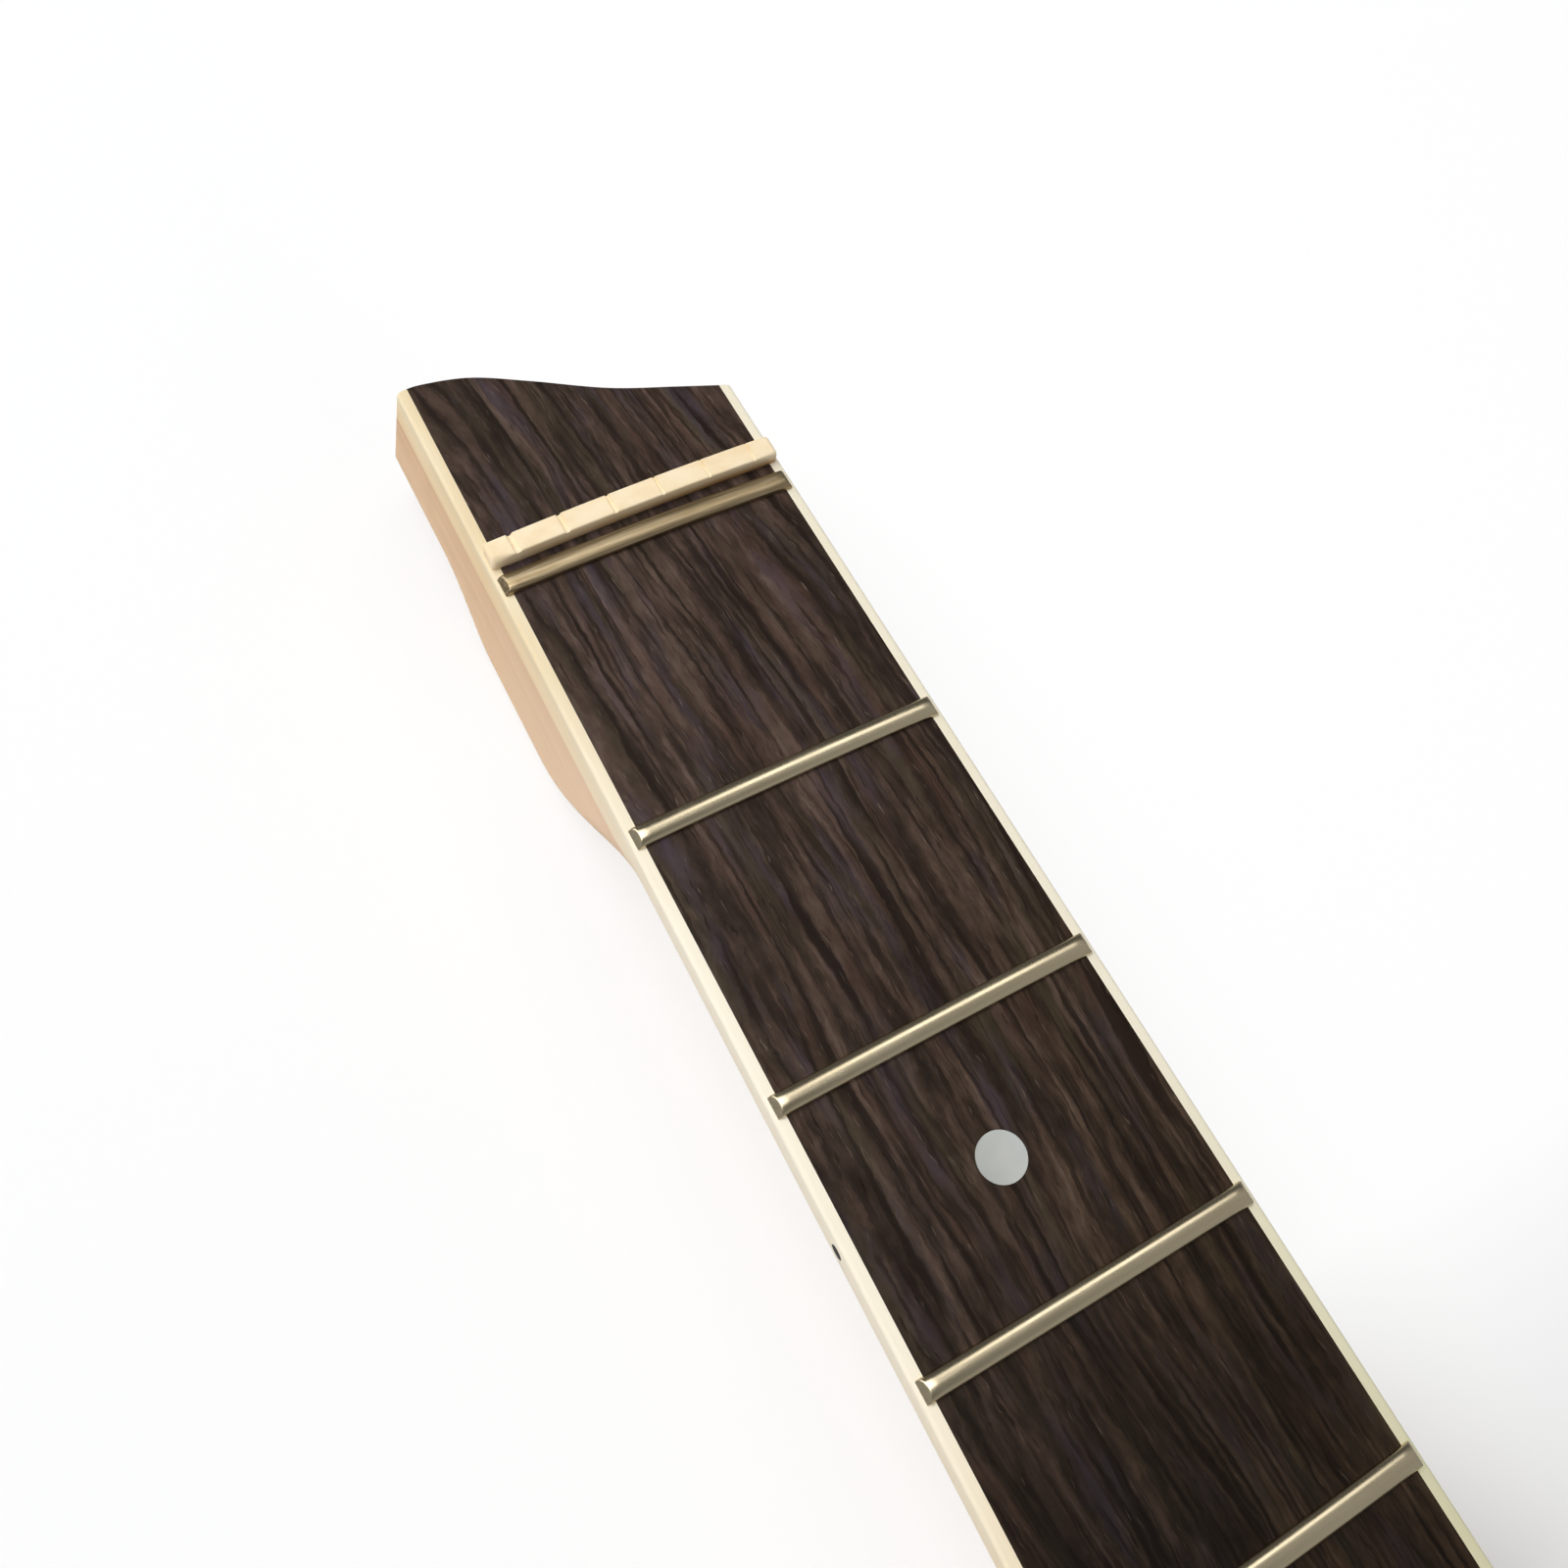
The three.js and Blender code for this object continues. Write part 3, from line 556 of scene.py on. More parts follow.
def rosewood():
    """Open-pored dark wood: soft bands, long ragged seams along the neck, fine fibres."""
    s = Shader("rosewood", Specular_IOR_Level=0.1)
    place = s.place()
    x, y, _ = s.parts(place)
    grain = board_grain(s, place, x)

    bands = s.noise(grain, (0.035, 0.42, 0.3), roughness=0.55)
    mottle = s.noise(grain, (0.3, 0.9, 0.6), (0.0, 17.0, 0.0))
    tone = s.math("ADD", s.times(bands, 0.66), s.times(mottle, 0.34))
    tones = ((0.35, 36, 26, 21), (0.45, 53, 41, 34), (0.55, 75, 60, 52), (0.66, 98, 81, 73))
    base = s.tones(tone, *tones)
    # Broader bands that grow stronger away from the head
    wide = s.noise(grain, (0.03, 0.4, 0.3), (50.0, 0.0, 0.0), detail=2, roughness=0.5)
    wide = s.ramp(wide, (0.38, 0.64, 0.63, 0.62), (0.5, 1.0), (0.6, 1.42, 1.4, 1.36))
    base = s.tint(base, wide, s.remap(x, ZERO_X - 20, ZERO_X - 110, 0.12, 0.95))
    # Patches lean to violet, to red or to olive: the violet ones are a painted reflection of the
    # room in the board's sheen, the red and olive ones the wood's own colour
    for scale, shift, lean, share in (
        ((0.05, 0.3, 0.28), (3.0, 0.0, 9.0), (70, 60, 69), 0.8),
        ((0.04, 0.26, 0.22), (31.0, 8.0, 0.0), (82, 60, 50), 0.4),
        ((0.04, 0.35, 0.35), (11.0, 70.0, 0.0), (68, 61, 45), 0.5),
    ):
        patch = s.noise(grain, scale, shift)
        base = s.blend(base, colour(*lean), s.remap(patch, 0.52, 0.68, 0.0, share))

    # Dark seams with soft, ragged sides, and shorter ones between them
    seam = s.noise(grain, (0.026, 0.78, 0.45), (20.0, 0.0, 3.0), roughness=0.5)
    seam = s.remap(seam, 0.46, 0.355)
    short_seam = s.noise(grain, (0.075, 1.15, 0.7), (0.0, 33.0, 3.0), detail=2, roughness=0.5)
    short_seam = s.remap(short_seam, 0.455, 0.35)
    base = s.blend(base, colour(34, 22, 15), s.times(short_seam, 0.7))
    base = s.blend(base, colour(30, 19, 13), s.times(seam, 0.85))

    # Fibres, short open pores, and short pale flecks where a pore's wall takes the light
    fibre = s.noise(grain, (0.5, 4.2, 4.2), (5.0, 0.0, 0.0))
    base = s.tint(base, s.ramp(fibre, (0.3, 0.74), (0.5, 1.0), (0.72, 1.24)), 0.42)
    pore = s.noise(grain, (0.3, 3.2, 3.2), (0.0, 0.0, 60.0), detail=2, roughness=0.4)
    pore = s.remap(pore, 0.66, 0.74)
    base = s.blend(base, colour(27, 19, 15), s.times(pore, 0.6))
    fleck = s.noise(grain, (0.36, 4.6, 4.6), (90.0, 0.0, 12.0), detail=1, roughness=0.4)
    base = s.blend(base, colour(122, 108, 98), s.times(s.remap(fleck, 0.7, 0.78), 0.5))
    # Painted sheen: the board is lighter towards the head, in stops over its last 150 mm
    painted_sheen = s.remap(x, ZERO_X - 150, ZERO_X)
    base = s.tint(base, s.ramp(painted_sheen, (0.2, 0.45, 0.44, 0.43), (0.42, 0.75), (0.7, 0.96)))
    # Away from the head its treble side is browner, and painted shade makes its bass side darker
    browner = s.times(s.remap(x, ZERO_X - 30, ZERO_X - 120), s.remap(y, 10, -14, 0.3, 1.0))
    painted_bass_shade = s.times(s.remap(x, ZERO_X - 92, ZERO_X - 122), s.remap(y, -12, 12, 0.3, 1.0))
    base = s.tint(s.tint(base, (0.97, 0.95, 0.76), browner), (0.78, 0.78, 0.76), painted_bass_shade)

    rough = s.math("ADD", s.remap(fibre, 0.3, 0.7, 0.5, 0.68), s.times(pore, 0.2), clamp=True)
    height = s.math("SUBTRACT", s.times(fibre, 0.5), pore)
    height = s.math("SUBTRACT", height, s.times(seam, 0.5))
    return s.finished(base, rough, s.bump(height, 0.05, 0.7))


def maple():
    """Pale satin wood with faint growth lines and flecks, darker on its end grain."""
    s = Shader("maple", Specular_IOR_Level=0.2)
    place = s.place()
    drift = s.noise(place, (0.006, 0.03, 0.03), detail=2, roughness=0.5)
    grain = s.across(place, s.remap(drift, 0.2, 0.8, -9.0, 9.0))
    growth = s.noise(grain, (0.003, 0.16, 0.09), roughness=0.62)
    fibre = s.noise(grain, (0.06, 3.2, 3.2))
    figure = s.noise(place, (0.16, 0.02, 0.02), (0.0, 0.0, 30.0), detail=2, roughness=0.5)
    base = s.tones(growth, (0.36, 211, 171, 132), (0.5, 224, 187, 149), (0.64, 232, 198, 161))
    base = s.tint(base, s.ramp(fibre, (0.3, 0.9, 0.88, 0.85), (0.55, 1.0)), 0.6)
    base = s.tint(base, s.ramp(figure, (0.35, 0.95, 0.94, 0.92), (0.65, 1.0)), 0.7)
    fleck = s.noise(grain, (0.18, 1.6, 1.6), (0.0, 50.0, 0.0), detail=1, roughness=0.5)
    base = s.blend(base, colour(181, 138, 103), s.remap(fleck, 0.7, 0.78, 0.0, 0.5))
    # Paler from the head down to the volute
    paler = s.remap(s.parts(place)[0], ZERO_X + 15, ZERO_X - 25, 0.05, 0.7)
    base = s.blend(base, colour(243, 213, 184), paler)
    # End grain faces along the neck
    along = s.parts(s.node("NewGeometry").outputs["Normal"])[0]
    end = s.remap(s.math("ABSOLUTE", along), 0.75, 0.98)
    rings = s.noise(grain, (0.05, 0.5, 1.3))
    end_tone = s.tones(rings, (0.35, 176, 136, 101), (0.65, 203, 165, 127))
    base = s.blend(base, end_tone, s.times(end, 0.8))
    return s.finished(base, s.remap(fibre, 0.3, 0.7, 0.45, 0.58), s.bump(fibre, 0.02))


def cream_plastic():
    """Binding: cream, faintly uneven, a little dulled by sanding along the neck."""
    s = Shader("binding_cream", Specular_IOR_Level=0.3)
    place = s.place()
    x, y, z = s.parts(place)
    cloud = s.noise(place, (0.04, 0.3, 0.3), roughness=0.5)
    base = s.tones(cloud, (0.35, 231, 212, 174), (0.5, 236, 219, 184), (0.66, 240, 226, 196))
    # Paler over one stretch and on the treble side
    from_pale = s.math("ABSOLUTE", s.math("SUBTRACT", x, ZERO_X - 74))
    pale = s.math("MAXIMUM", s.remap(from_pale, 26, 64, 0.8, 0.0), s.remap(y, 5, -5, 0.0, 0.72))
    base = s.blend(base, colour(252, 246, 231), pale)
    # Painted shade: its lower part, down the side, is tinted warmer and less blue
    painted_side_shade = s.times(s.remap(z, EDGE_Z, EDGE_Z - 3), s.math("SUBTRACT", 1.0, s.times(pale, 0.8)))
    base = s.tint(base, (1.07, 0.97, 0.87), painted_side_shade)
    # Painted shade: the treble side is darker and yellower, most of all round the fourth and fifth
    # fret
    painted_treble_shade = s.times(
        s.remap(x, 374, 322, 0.15, 1.0), s.remap(y, 5, -5), s.remap(x, 240, 310, 0.15, 1.0),
    )
    base = s.tint(base, (0.72, 0.75, 0.62), painted_treble_shade)
    scratch = s.noise(place, (0.25, 9.0, 9.0))
    base = s.tint(base, s.ramp(scratch, (0.3, 0.95, 0.94, 0.9), (0.6, 1.0)), 0.7)
    return s.finished(base, s.remap(scratch, 0.3, 0.7, 0.36, 0.48), s.bump(scratch, 0.012))


def nut_material():
    """Nut: warm ivory plastic with sanding marks across its top."""
    s = Shader("nut_ivory", Specular_IOR_Level=0.35)
    place = s.place()
    cloud = s.noise(place, (0.4, 0.22, 0.5), roughness=0.5)
    base = s.tones(cloud, (0.35, 244, 221, 182), (0.5, 248, 228, 192), (0.7, 251, 234, 204))
    # Painted shade: brown darkening at its foot, where it stands on the board's crown, deepest
    # towards the treble end
    _, y, z = s.parts(place)
    fall = s.math("DIVIDE", s.times(y, y), 2 * CROWN_RADIUS)
    height = s.math("SUBTRACT", s.math("ADD", z, fall), CROWN_TOP)
    painted_foot_shade = s.times(s.remap(height, 1.5, 0.2), s.remap(y, 18, -12, 0.3, 1.0))
    base = s.tint(base, (0.58, 0.41, 0.24), painted_foot_shade)
    marks = s.noise(place, (7.0, 0.35, 7.0))
    return s.finished(base, s.remap(marks, 0.3, 0.7, 0.4, 0.52), s.bump(marks, 0.01, 0.6))


# For each wire: the lines' fineness and depth, roughness, and dark, middle and light tones
NEW_WIRE = (
    1.6, 0.0003, (0.2, 0.27),
    ((0.3, 0.56, 0.475, 0.325), (0.5, 0.59, 0.51, 0.355), (0.7, 0.62, 0.54, 0.385)),
)
WORN_WIRE = (
    2.6, 0.03, (0.34, 0.46),
    ((0.3, 0.22, 0.165, 0.085), (0.5, 0.37, 0.285, 0.17), (0.7, 0.52, 0.42, 0.28)),
)


def fret_wire(name, fineness, line_depth, roughness, tones):
    """Nickel silver, worked along its length, with fine lines and duller patches."""
    s = Shader(name, Metallic=1.0)
    place = s.place()
    lines = s.noise(place, (fineness, 0.06, fineness), roughness=0.65)
    patch = s.noise(place, (0.5, 0.2, 0.5), roughness=0.5)
    rough = s.math("ADD", s.remap(lines, 0.3, 0.7, *roughness), s.remap(patch, 0.4, 0.7, 0.0, 0.04))
    return s.finished(s.ramp(lines, *tones), rough, s.bump(lines, line_depth))


def pearl():
    """Inlay dots: pale grey pearl with soft swirls under a clear polish."""
    s = Shader("inlay_pearl", Coat_Weight=0.5, Coat_Roughness=0.12)
    place = s.place()
    swirl = s.noise(place, (0.17,) * 3, detail=2, roughness=0.5, distortion=0.5)
    base = s.tones(swirl, (0.34, 178, 183, 183), (0.5, 185, 189, 186), (0.66, 191, 193, 190))
    # Painted shade: a dot's bass half is a little darker than its treble half
    half = s.remap(s.parts(place)[1], 4.5, -1.5)
    base = s.tint(base, s.ramp(half, (0.0, 0.86, 0.85, 0.83), (1.0, 1.08, 1.07, 1.06)))
    return s.finished(base, s.remap(swirl, 0.3, 0.7, 0.26, 0.34))


def black_plastic():
    s = Shader("side_dot_black")
    speck = s.noise(s.place(), (6.0,) * 3, roughness=0.5)
    base = s.tones(speck, (0.35, 17, 15, 13), (0.7, 34, 31, 28))
    return s.finished(base, s.remap(speck, 0.3, 0.7, 0.38, 0.5))


def steel():
    """Truss rod steel: drawn along the neck, greyish, a little stained."""
    s = Shader("truss_steel", Metallic=1.0)
    place = s.place()
    lines = s.noise(place, (0.3, 6.0, 6.0))
    stain = s.noise(place, (0.15, 0.5, 0.5), detail=4)
    tones = ((0.35, 0.2, 0.19, 0.18), (0.55, 0.36, 0.36, 0.37), (0.75, 0.44, 0.44, 0.45))
    base = s.ramp(stain, *tones)
    return s.finished(base, s.remap(lines, 0.3, 0.7, 0.3, 0.46), s.bump(lines, 0.008))


# Pieces


def stations(start, *stretches):
    """Even places along stretches, of which each has its end and about its step."""
    places = [start]
    for end, step in stretches:
        count = max(1, round((end - places[-1]) / step))
        places += list(np.linspace(places[-1], end, count + 1))[1:]
    return places


def row(x, y, z):
    """A row of points. A single number stands for all of its places."""
    return np.stack(np.broadcast_arrays(x, y, z), -1)


def polar_radius(x, angles):
    """Distance from the top's middle to the outer form, for angles below level."""
    depth, side, roundness = form_at(x)
    half = half_at(x)
    y_share, z_share = np.cos(angles), np.sin(angles)
    near, far = np.zeros_like(angles), np.full_like(angles, 2 * half)
    for _ in range(HALVINGS):
        r = (near + far) / 2
        y, z = np.abs(r * y_share), WOOD_TOP - r * z_share
        fall = np.clip((EDGE_Z - side - z) / (depth - side), 0, None)
        inside = (y / half) ** roundness + fall**roundness <= 1
        near, far = np.where(inside, r, near), np.where(inside, far, r)
    return near


def outline_places(radius, x, angles):
    """Across and down places of a section, kept within the neck's width and depth."""
    half = half_at(x)
    y = np.clip(radius * np.cos(angles), -half, half)
    return y, np.clip(WOOD_TOP - radius * np.sin(angles), 0, None)


def heel_radius(x, angles):
    """The same for the heel block, whose underside sweeps up past the seat."""
    past = x - HEEL_SEAT_END
    if past >= HEEL_SWEEP_LENGTH:
        return np.zeros_like(angles)
    turn = math.asin(max(0.0, past) / HEEL_SWEEP_LENGTH)
    depth = WOOD_TOP - HEEL_SWEEP_RISE * (1 - math.cos(turn))
    y = np.abs(np.cos(angles)) / half_at(x)
    z = np.abs(np.sin(angles)) / depth
    return (y**HEEL_ROUNDNESS + z**HEEL_ROUNDNESS) ** (-1 / HEEL_ROUNDNESS)


def soft_larger(a, b, reach):
    """The larger of two lengths, with a fillet where they are nearly alike."""
    near = np.clip(reach - np.abs(a - b), 0, None) / reach
    return np.maximum(a, b) + near**2 * reach / 4


def shaft_section(x, angles):
    """Across and down places of the shaft's underside at x."""
    outer, heel = polar_radius(x, angles), heel_radius(x, angles)
    fillet = HEEL_FILLET * np.sin(angles) ** 2 + NO_LENGTH
    if x <= HEEL_SEAT_END:
        radius = np.maximum(outer, heel)
    else:
        radius = soft_larger(outer, heel, fillet)
    return outline_places(radius, x, angles)


def shaft_angles():
    half = np.concatenate([np.arange(0, 24, 1.5), np.arange(24, 50, 0.75), np.arange(50, 90, 1.5)])
    return np.radians(np.concatenate([half, [90], (180 - half)[::-1]]))


def drawn_in(y, z, inset):
    """A row of points moved square to its own line, away from the outside."""
    dy, dz = np.gradient(y), np.gradient(z)
    size = np.hypot(dy, dz)
    return y + inset * dz / size, z - inset * dy / size


def rounded_end(radius, steps=4):
    """Insets and set-backs of the rows that round an end, from full size to the end face."""
    turns = np.linspace(0, math.pi / 2, steps)
    return [(radius * (1 - math.cos(turn)), radius * (1 - math.sin(turn))) for turn in turns]


def make_shaft(material):
    angles = shaft_angles()
    sweep_end = HEEL_SEAT_END + HEEL_SWEEP_LENGTH
    stretches = ((HEEL_SEAT_END, 6), (sweep_end, 1), (VOLUTE_END, 5), (HEAD_START, 1))
    upper, lower = [], []

    def add(x, x_top, y, z):
        upper.append(gathered(row(x_top, y, WOOD_TOP)))
        lower.append(row(x, y, z))

    y_end, z_end = shaft_section(HEEL_X, angles)
    for inset, back in rounded_end(END_ROUND)[:0:-1]:
        y, z = drawn_in(y_end, z_end, inset)
        add(HEEL_X + back, HEEL_X + back, y, z)
    for x in stations(HEEL_X + END_ROUND, *stretches):
        y, z = shaft_section(x, angles)
        add(x, x, y, z)
    for share, inset, back in head_rows():
        x = np.full_like(angles, HEAD_START)
        for _ in range(SETTLING_ROUNDS):
            y, z = outline_places(polar_radius(x, angles), x, angles)
            x = mix(HEAD_START, head_end_x(y, z), share)
        y, z = drawn_in(y, z, inset)
        x = mix(HEAD_START, head_end_x(y, z) - back, share)
        add(x, mix(HEAD_START, head_end_x(y, WOOD_TOP) - back, share), y, z)
    obj = bar_mesh("neck_shaft_fine", upper, lower)
    cut(obj, [truss_channel(), *pilot_cutters()])
    return finish_piece(obj, material, ["neck_shaft"])


def gathered(points, reach=0.06):
    """A row whose points near either end are that end, as above an upright side."""
    points = np.array(points)
    for end in (0, -1):
        points[np.abs(points[:, 1] - points[end, 1]) < reach] = points[end]
    return points


def head_rows():
    """Rows from the last straight one to the wave: share of the way, inset and set-back."""
    rows = [(share, 0.0, 0.0) for share in np.linspace(0, 1, HEAD_ROWS)[1:-1]]
    return rows + [(1.0, inset, back) for inset, back in rounded_end(END_ROUND)]


def truss_channel():
    block_low, block_high = low("truss_block_head"), high("truss_block_head")
    half = block_high[1] + TRUSS_CLEARANCE
    return block(
        "channel",
        (HEEL_X - OVERRUN, -half, block_low[2] - TRUSS_CLEARANCE),
        (block_high[0] + TRUSS_CLEARANCE, half, WOOD_TOP + OVERRUN),
    )


def pilot_cutters():
    radius = PILOT_DIAMETER / 2
    wide = radius + PILOT_CHAMFER
    profile = (
        (-OVERRUN, wide), (0, wide), (PILOT_CHAMFER, radius), (PILOT_DEPTH - radius / 2, radius),
        (PILOT_DEPTH, radius / 10),
    )
    x, y = (spacing / 2 for spacing in SCREW_SPACING)
    places = ((-x, -y), (-x, y), (x, -y), (x, y))
    return [turned("pilot", profile, (*place, 0), "z") for place in places]


def slot_cutters():
    """Boxes for the fret slots and for the nut's seat, right across the board."""
    slot_half = TANG_THICKNESS / 2 + SLOT_CLEARANCE
    reach = HALF_AT_HEEL + OVERRUN
    top = CROWN_TOP + OVERRUN
    cutters = []
    for node, x in zip(FRET_NODES, FRET_X):
        floor = low(node)[2] - SLOT_CLEARANCE
        cutters.append(block("slot", (x - slot_half, -reach, floor), (x + slot_half, reach, top)))
    floor = low("nut")[2] - SLOT_CLEARANCE
    edges = (-SLOT_CLEARANCE, NUT_THICKNESS + SLOT_CLEARANCE)
    upper, lower = (
        [[(nut_front(y) + x, y, z) for x in edges] for y in (-reach, reach)] for z in (top, floor)
    )
    return cutters + [bar_mesh("slot", upper, lower)]


def towards_end(across, height_at, share, back=0.0):
    """Places on the way to the head end, on lines that keep their share of the board's width."""
    x = np.full_like(across, HEAD_START)
    for _ in range(SETTLING_ROUNDS):
        y = across * inner_at(x)
        x = mix(HEAD_START, head_end_x(y, height_at(y)) - back, share)
    return x, across * inner_at(x)


def make_board(material):
    across = np.linspace(-1, 1, 45)
    upper, lower = [], []
    for x in stations(HEEL_X + BINDING, (HEAD_START, 5)):
        y = across * inner_at(x)
        upper.append(row(x, y, crown_z(y)))
        lower.append(row(x, y, WOOD_TOP))
    for share, inset, back in head_rows():
        x, y = towards_end(across, crown_z, share, back)
        upper.append(row(x, y, crown_z(y) - inset))
        x, y = towards_end(across, lambda y: WOOD_TOP, share)
        lower.append(row(x, y, WOOD_TOP))
    obj = bar_mesh("fingerboard_fine", upper, lower)
    cut(obj, slot_cutters() + [pocket(n, "z", CROWN_TOP, INLAY_SIDES) for n in INLAY_NODES])
    return finish_piece(obj, material, ["fingerboard"])


def binding_section(x):
    """Outer line of the strip at x, from the board over the top and down the side."""
    inner, outer = inner_at(x), half_at(x)
    r = EDGE_BREAK
    turns = np.radians([90, 72, 54, 36, 18, 0])
    flat_y = np.array([inner, mix(inner, outer - r, 0.5)])
    edge_top = crown_z(outer - r)
    wall_z = np.linspace(edge_top - r, WOOD_TOP, 11)[1:]
    y = np.concatenate([flat_y, outer - r + r * np.cos(turns), side_y(x, wall_z)])
    z = np.concatenate([crown_z(flat_y), edge_top - r + r * np.sin(turns), wall_z])
    return y, z


def make_binding(side, node, material):
    """A strip along one edge: each row is its outer line, closed by the inner face."""
    outer_rows, inner_rows = [], []

    def add(x, y, z, x_inner):
        outer_rows.append(row(x, side * y, z))
        inner_rows.append(row(x_inner, side * inner_at(x_inner), z))

    y_end, z_end = binding_section(HEEL_X)
    for inset, back in rounded_end(END_ROUND)[:0:-1]:
        y, z = drawn_in(y_end, z_end, inset)
        add(HEEL_X + back, y, np.maximum(z, WOOD_TOP), HEEL_X + back)
    for x in stations(HEEL_X + END_ROUND, (VOLUTE_END, 4), (HEAD_START, 1)):
        y, z = binding_section(x)
        add(x, y, z, x)
    y_start, z_start = binding_section(HEAD_START)
    for share, inset, back in head_rows():
        x = np.full_like(y_start, HEAD_START)
        for _ in range(BINDING_OUTER_ROUNDS):
            y = y_start - half_at(HEAD_START) + half_at(x)
            x = mix(HEAD_START, head_end_x(side * y, z_start), share)
        y, z = drawn_in(y, z_start, inset)
        z = np.maximum(z, WOOD_TOP)
        x = mix(HEAD_START, head_end_x(side * y, z) - back, share)
        x_inner = x
        for _ in range(BINDING_INNER_ROUNDS):
            inner = side * inner_at(x_inner)
            x_inner = mix(HEAD_START, head_end_x(inner, z) - back, share)
        add(x, y, z, x_inner)
    obj = bar_mesh(node + "_fine", outer_rows, inner_rows)
    if side > 0:
        cut(obj, [pocket(n, "y", half_at(middle(n)[0]), SIDE_DOT_SIDES) for n in SIDE_DOT_NODES])
    return finish_piece(obj, material, [node])


def make_heel_strip(material):
    inner = inner_at(HEEL_X)
    r = EDGE_BREAK
    upper, lower = [], []
    turns = np.radians([0, 22.5, 45, 67.5, 90])
    for y in np.linspace(-inner, inner, 41):
        top = crown_z(y)
        x = np.concatenate([[HEEL_X], HEEL_X + r - r * np.cos(turns)[1:], [HEEL_X + BINDING]])
        z = np.concatenate([[top - r], top - r + r * np.sin(turns)[1:], [top]])
        upper.append(row(x, y, z))
        lower.append(row(x, y, WOOD_TOP))
    obj = bar_mesh("binding_heel_end_fine", upper, lower)
    return finish_piece(obj, material, ["binding_heel_end"])


def fret_profile(fullness, lean, count=25):
    """The crown of the wire: heights over places across it, foot to foot."""
    across = -np.cos(np.linspace(0, math.pi, count)) * FRET_HALF_WIDTH
    share = (across / FRET_HALF_WIDTH + 1) / 2
    # The angle whose cosine gives the place, leant towards the heel
    turns = np.arccos(1 - 2 * np.clip(share, 0, 1) ** lean)
    rise = np.sin(turns) ** fullness
    return across, (FRET_FOOT_SHARE + (1 - FRET_FOOT_SHARE) * rise) * FRET_HEIGHT


def make_fret(node, material, crown):
    x_mid = middle(node)[0]
    inner = inner_at(x_mid)
    half = inner + FRET_OVER_BINDING
    tang_half = inner - BINDING
    across, heights = fret_profile(*crown)
    tang = TANG_THICKNESS / 2
    centre = np.abs(across) <= 2 * tang
    upper, lower = [], []
    for y, ease, with_tang in fret_rings(half, tang_half):
        height = heights * ease
        lean = np.sign(y) * FRET_END_BEVEL * height * (abs(y) > tang_half)
        x_up = x_mid + across * mix(1, ease, FRET_END_NARROWING_SHARE)
        upper.append(row(x_up, y - lean, crown_z(y - lean) + height))
        x_low, z_low = x_up, crown_z(y)
        if with_tang:
            x_low = np.where(centre, x_mid + np.clip(across, -tang, tang), x_low)
            z_low = np.where(centre, z_low - TANG_DEPTH, z_low)
        lower.append(row(x_low, y, z_low))
    obj = bar_mesh(node + "_fine", upper, lower)
    return finish_piece(obj, material, [node])


def fret_rings(half, tang_half):
    """Places along a fret, with how full it is there and whether it has its tang."""
    r = FRET_END_ROUND
    ends = []
    for turn in np.radians(FRET_END_TURNS):
        ease = 1 - FRET_END_EASE_SHARE * math.cos(turn) ** 3
        ends.append((half - r * (1 - math.cos(turn)), ease, False))
    ends += [(mix(half - r, tang_half, 0.5), 1.0, False), (tang_half, 1.0, False)]
    inner = [(y, 1.0, True) for y in np.linspace(tang_half, -tang_half, 25)]
    return ends + inner + [(-y, ease, tang) for y, ease, tang in ends[::-1]]


def nut_front(y):
    """The nut's front face at y: it turns off towards the head on the treble side."""
    return low("nut")[0] + NUT_TURN * (NUT_HALF - y) / (2 * NUT_HALF)


def nut_outline(front_round):
    """Places across the nut's thickness, and how far its top falls there, front to back."""
    turns = np.radians(np.linspace(0, 90, 7))
    edge, drop = 1 - np.cos(turns), 1 - np.sin(turns)
    flat = np.linspace(front_round, NUT_THICKNESS - NUT_ROUND, 11)[1:-1]
    across = np.concatenate([front_round * edge, flat, NUT_THICKNESS - NUT_ROUND * edge[::-1]])
    return across, np.concatenate([front_round * drop, np.zeros_like(flat), NUT_ROUND * drop[::-1]])


def nut_rows(places):
    """Places along the nut: even steps, with close ones at the slots and the ends."""
    rows = list(np.linspace(-NUT_HALF, NUT_HALF, 61))
    for place, width in zip(places, STRING_SLOT_WIDTHS):
        rows += list(place + np.linspace(-0.6, 0.6, 17) * width)
    ends = NUT_HALF - NUT_END_ROUND * (1 - np.cos(np.linspace(0, math.pi / 2, 8)))
    return sorted({round(float(y), 3) for y in [*rows, *ends, *-ends]})


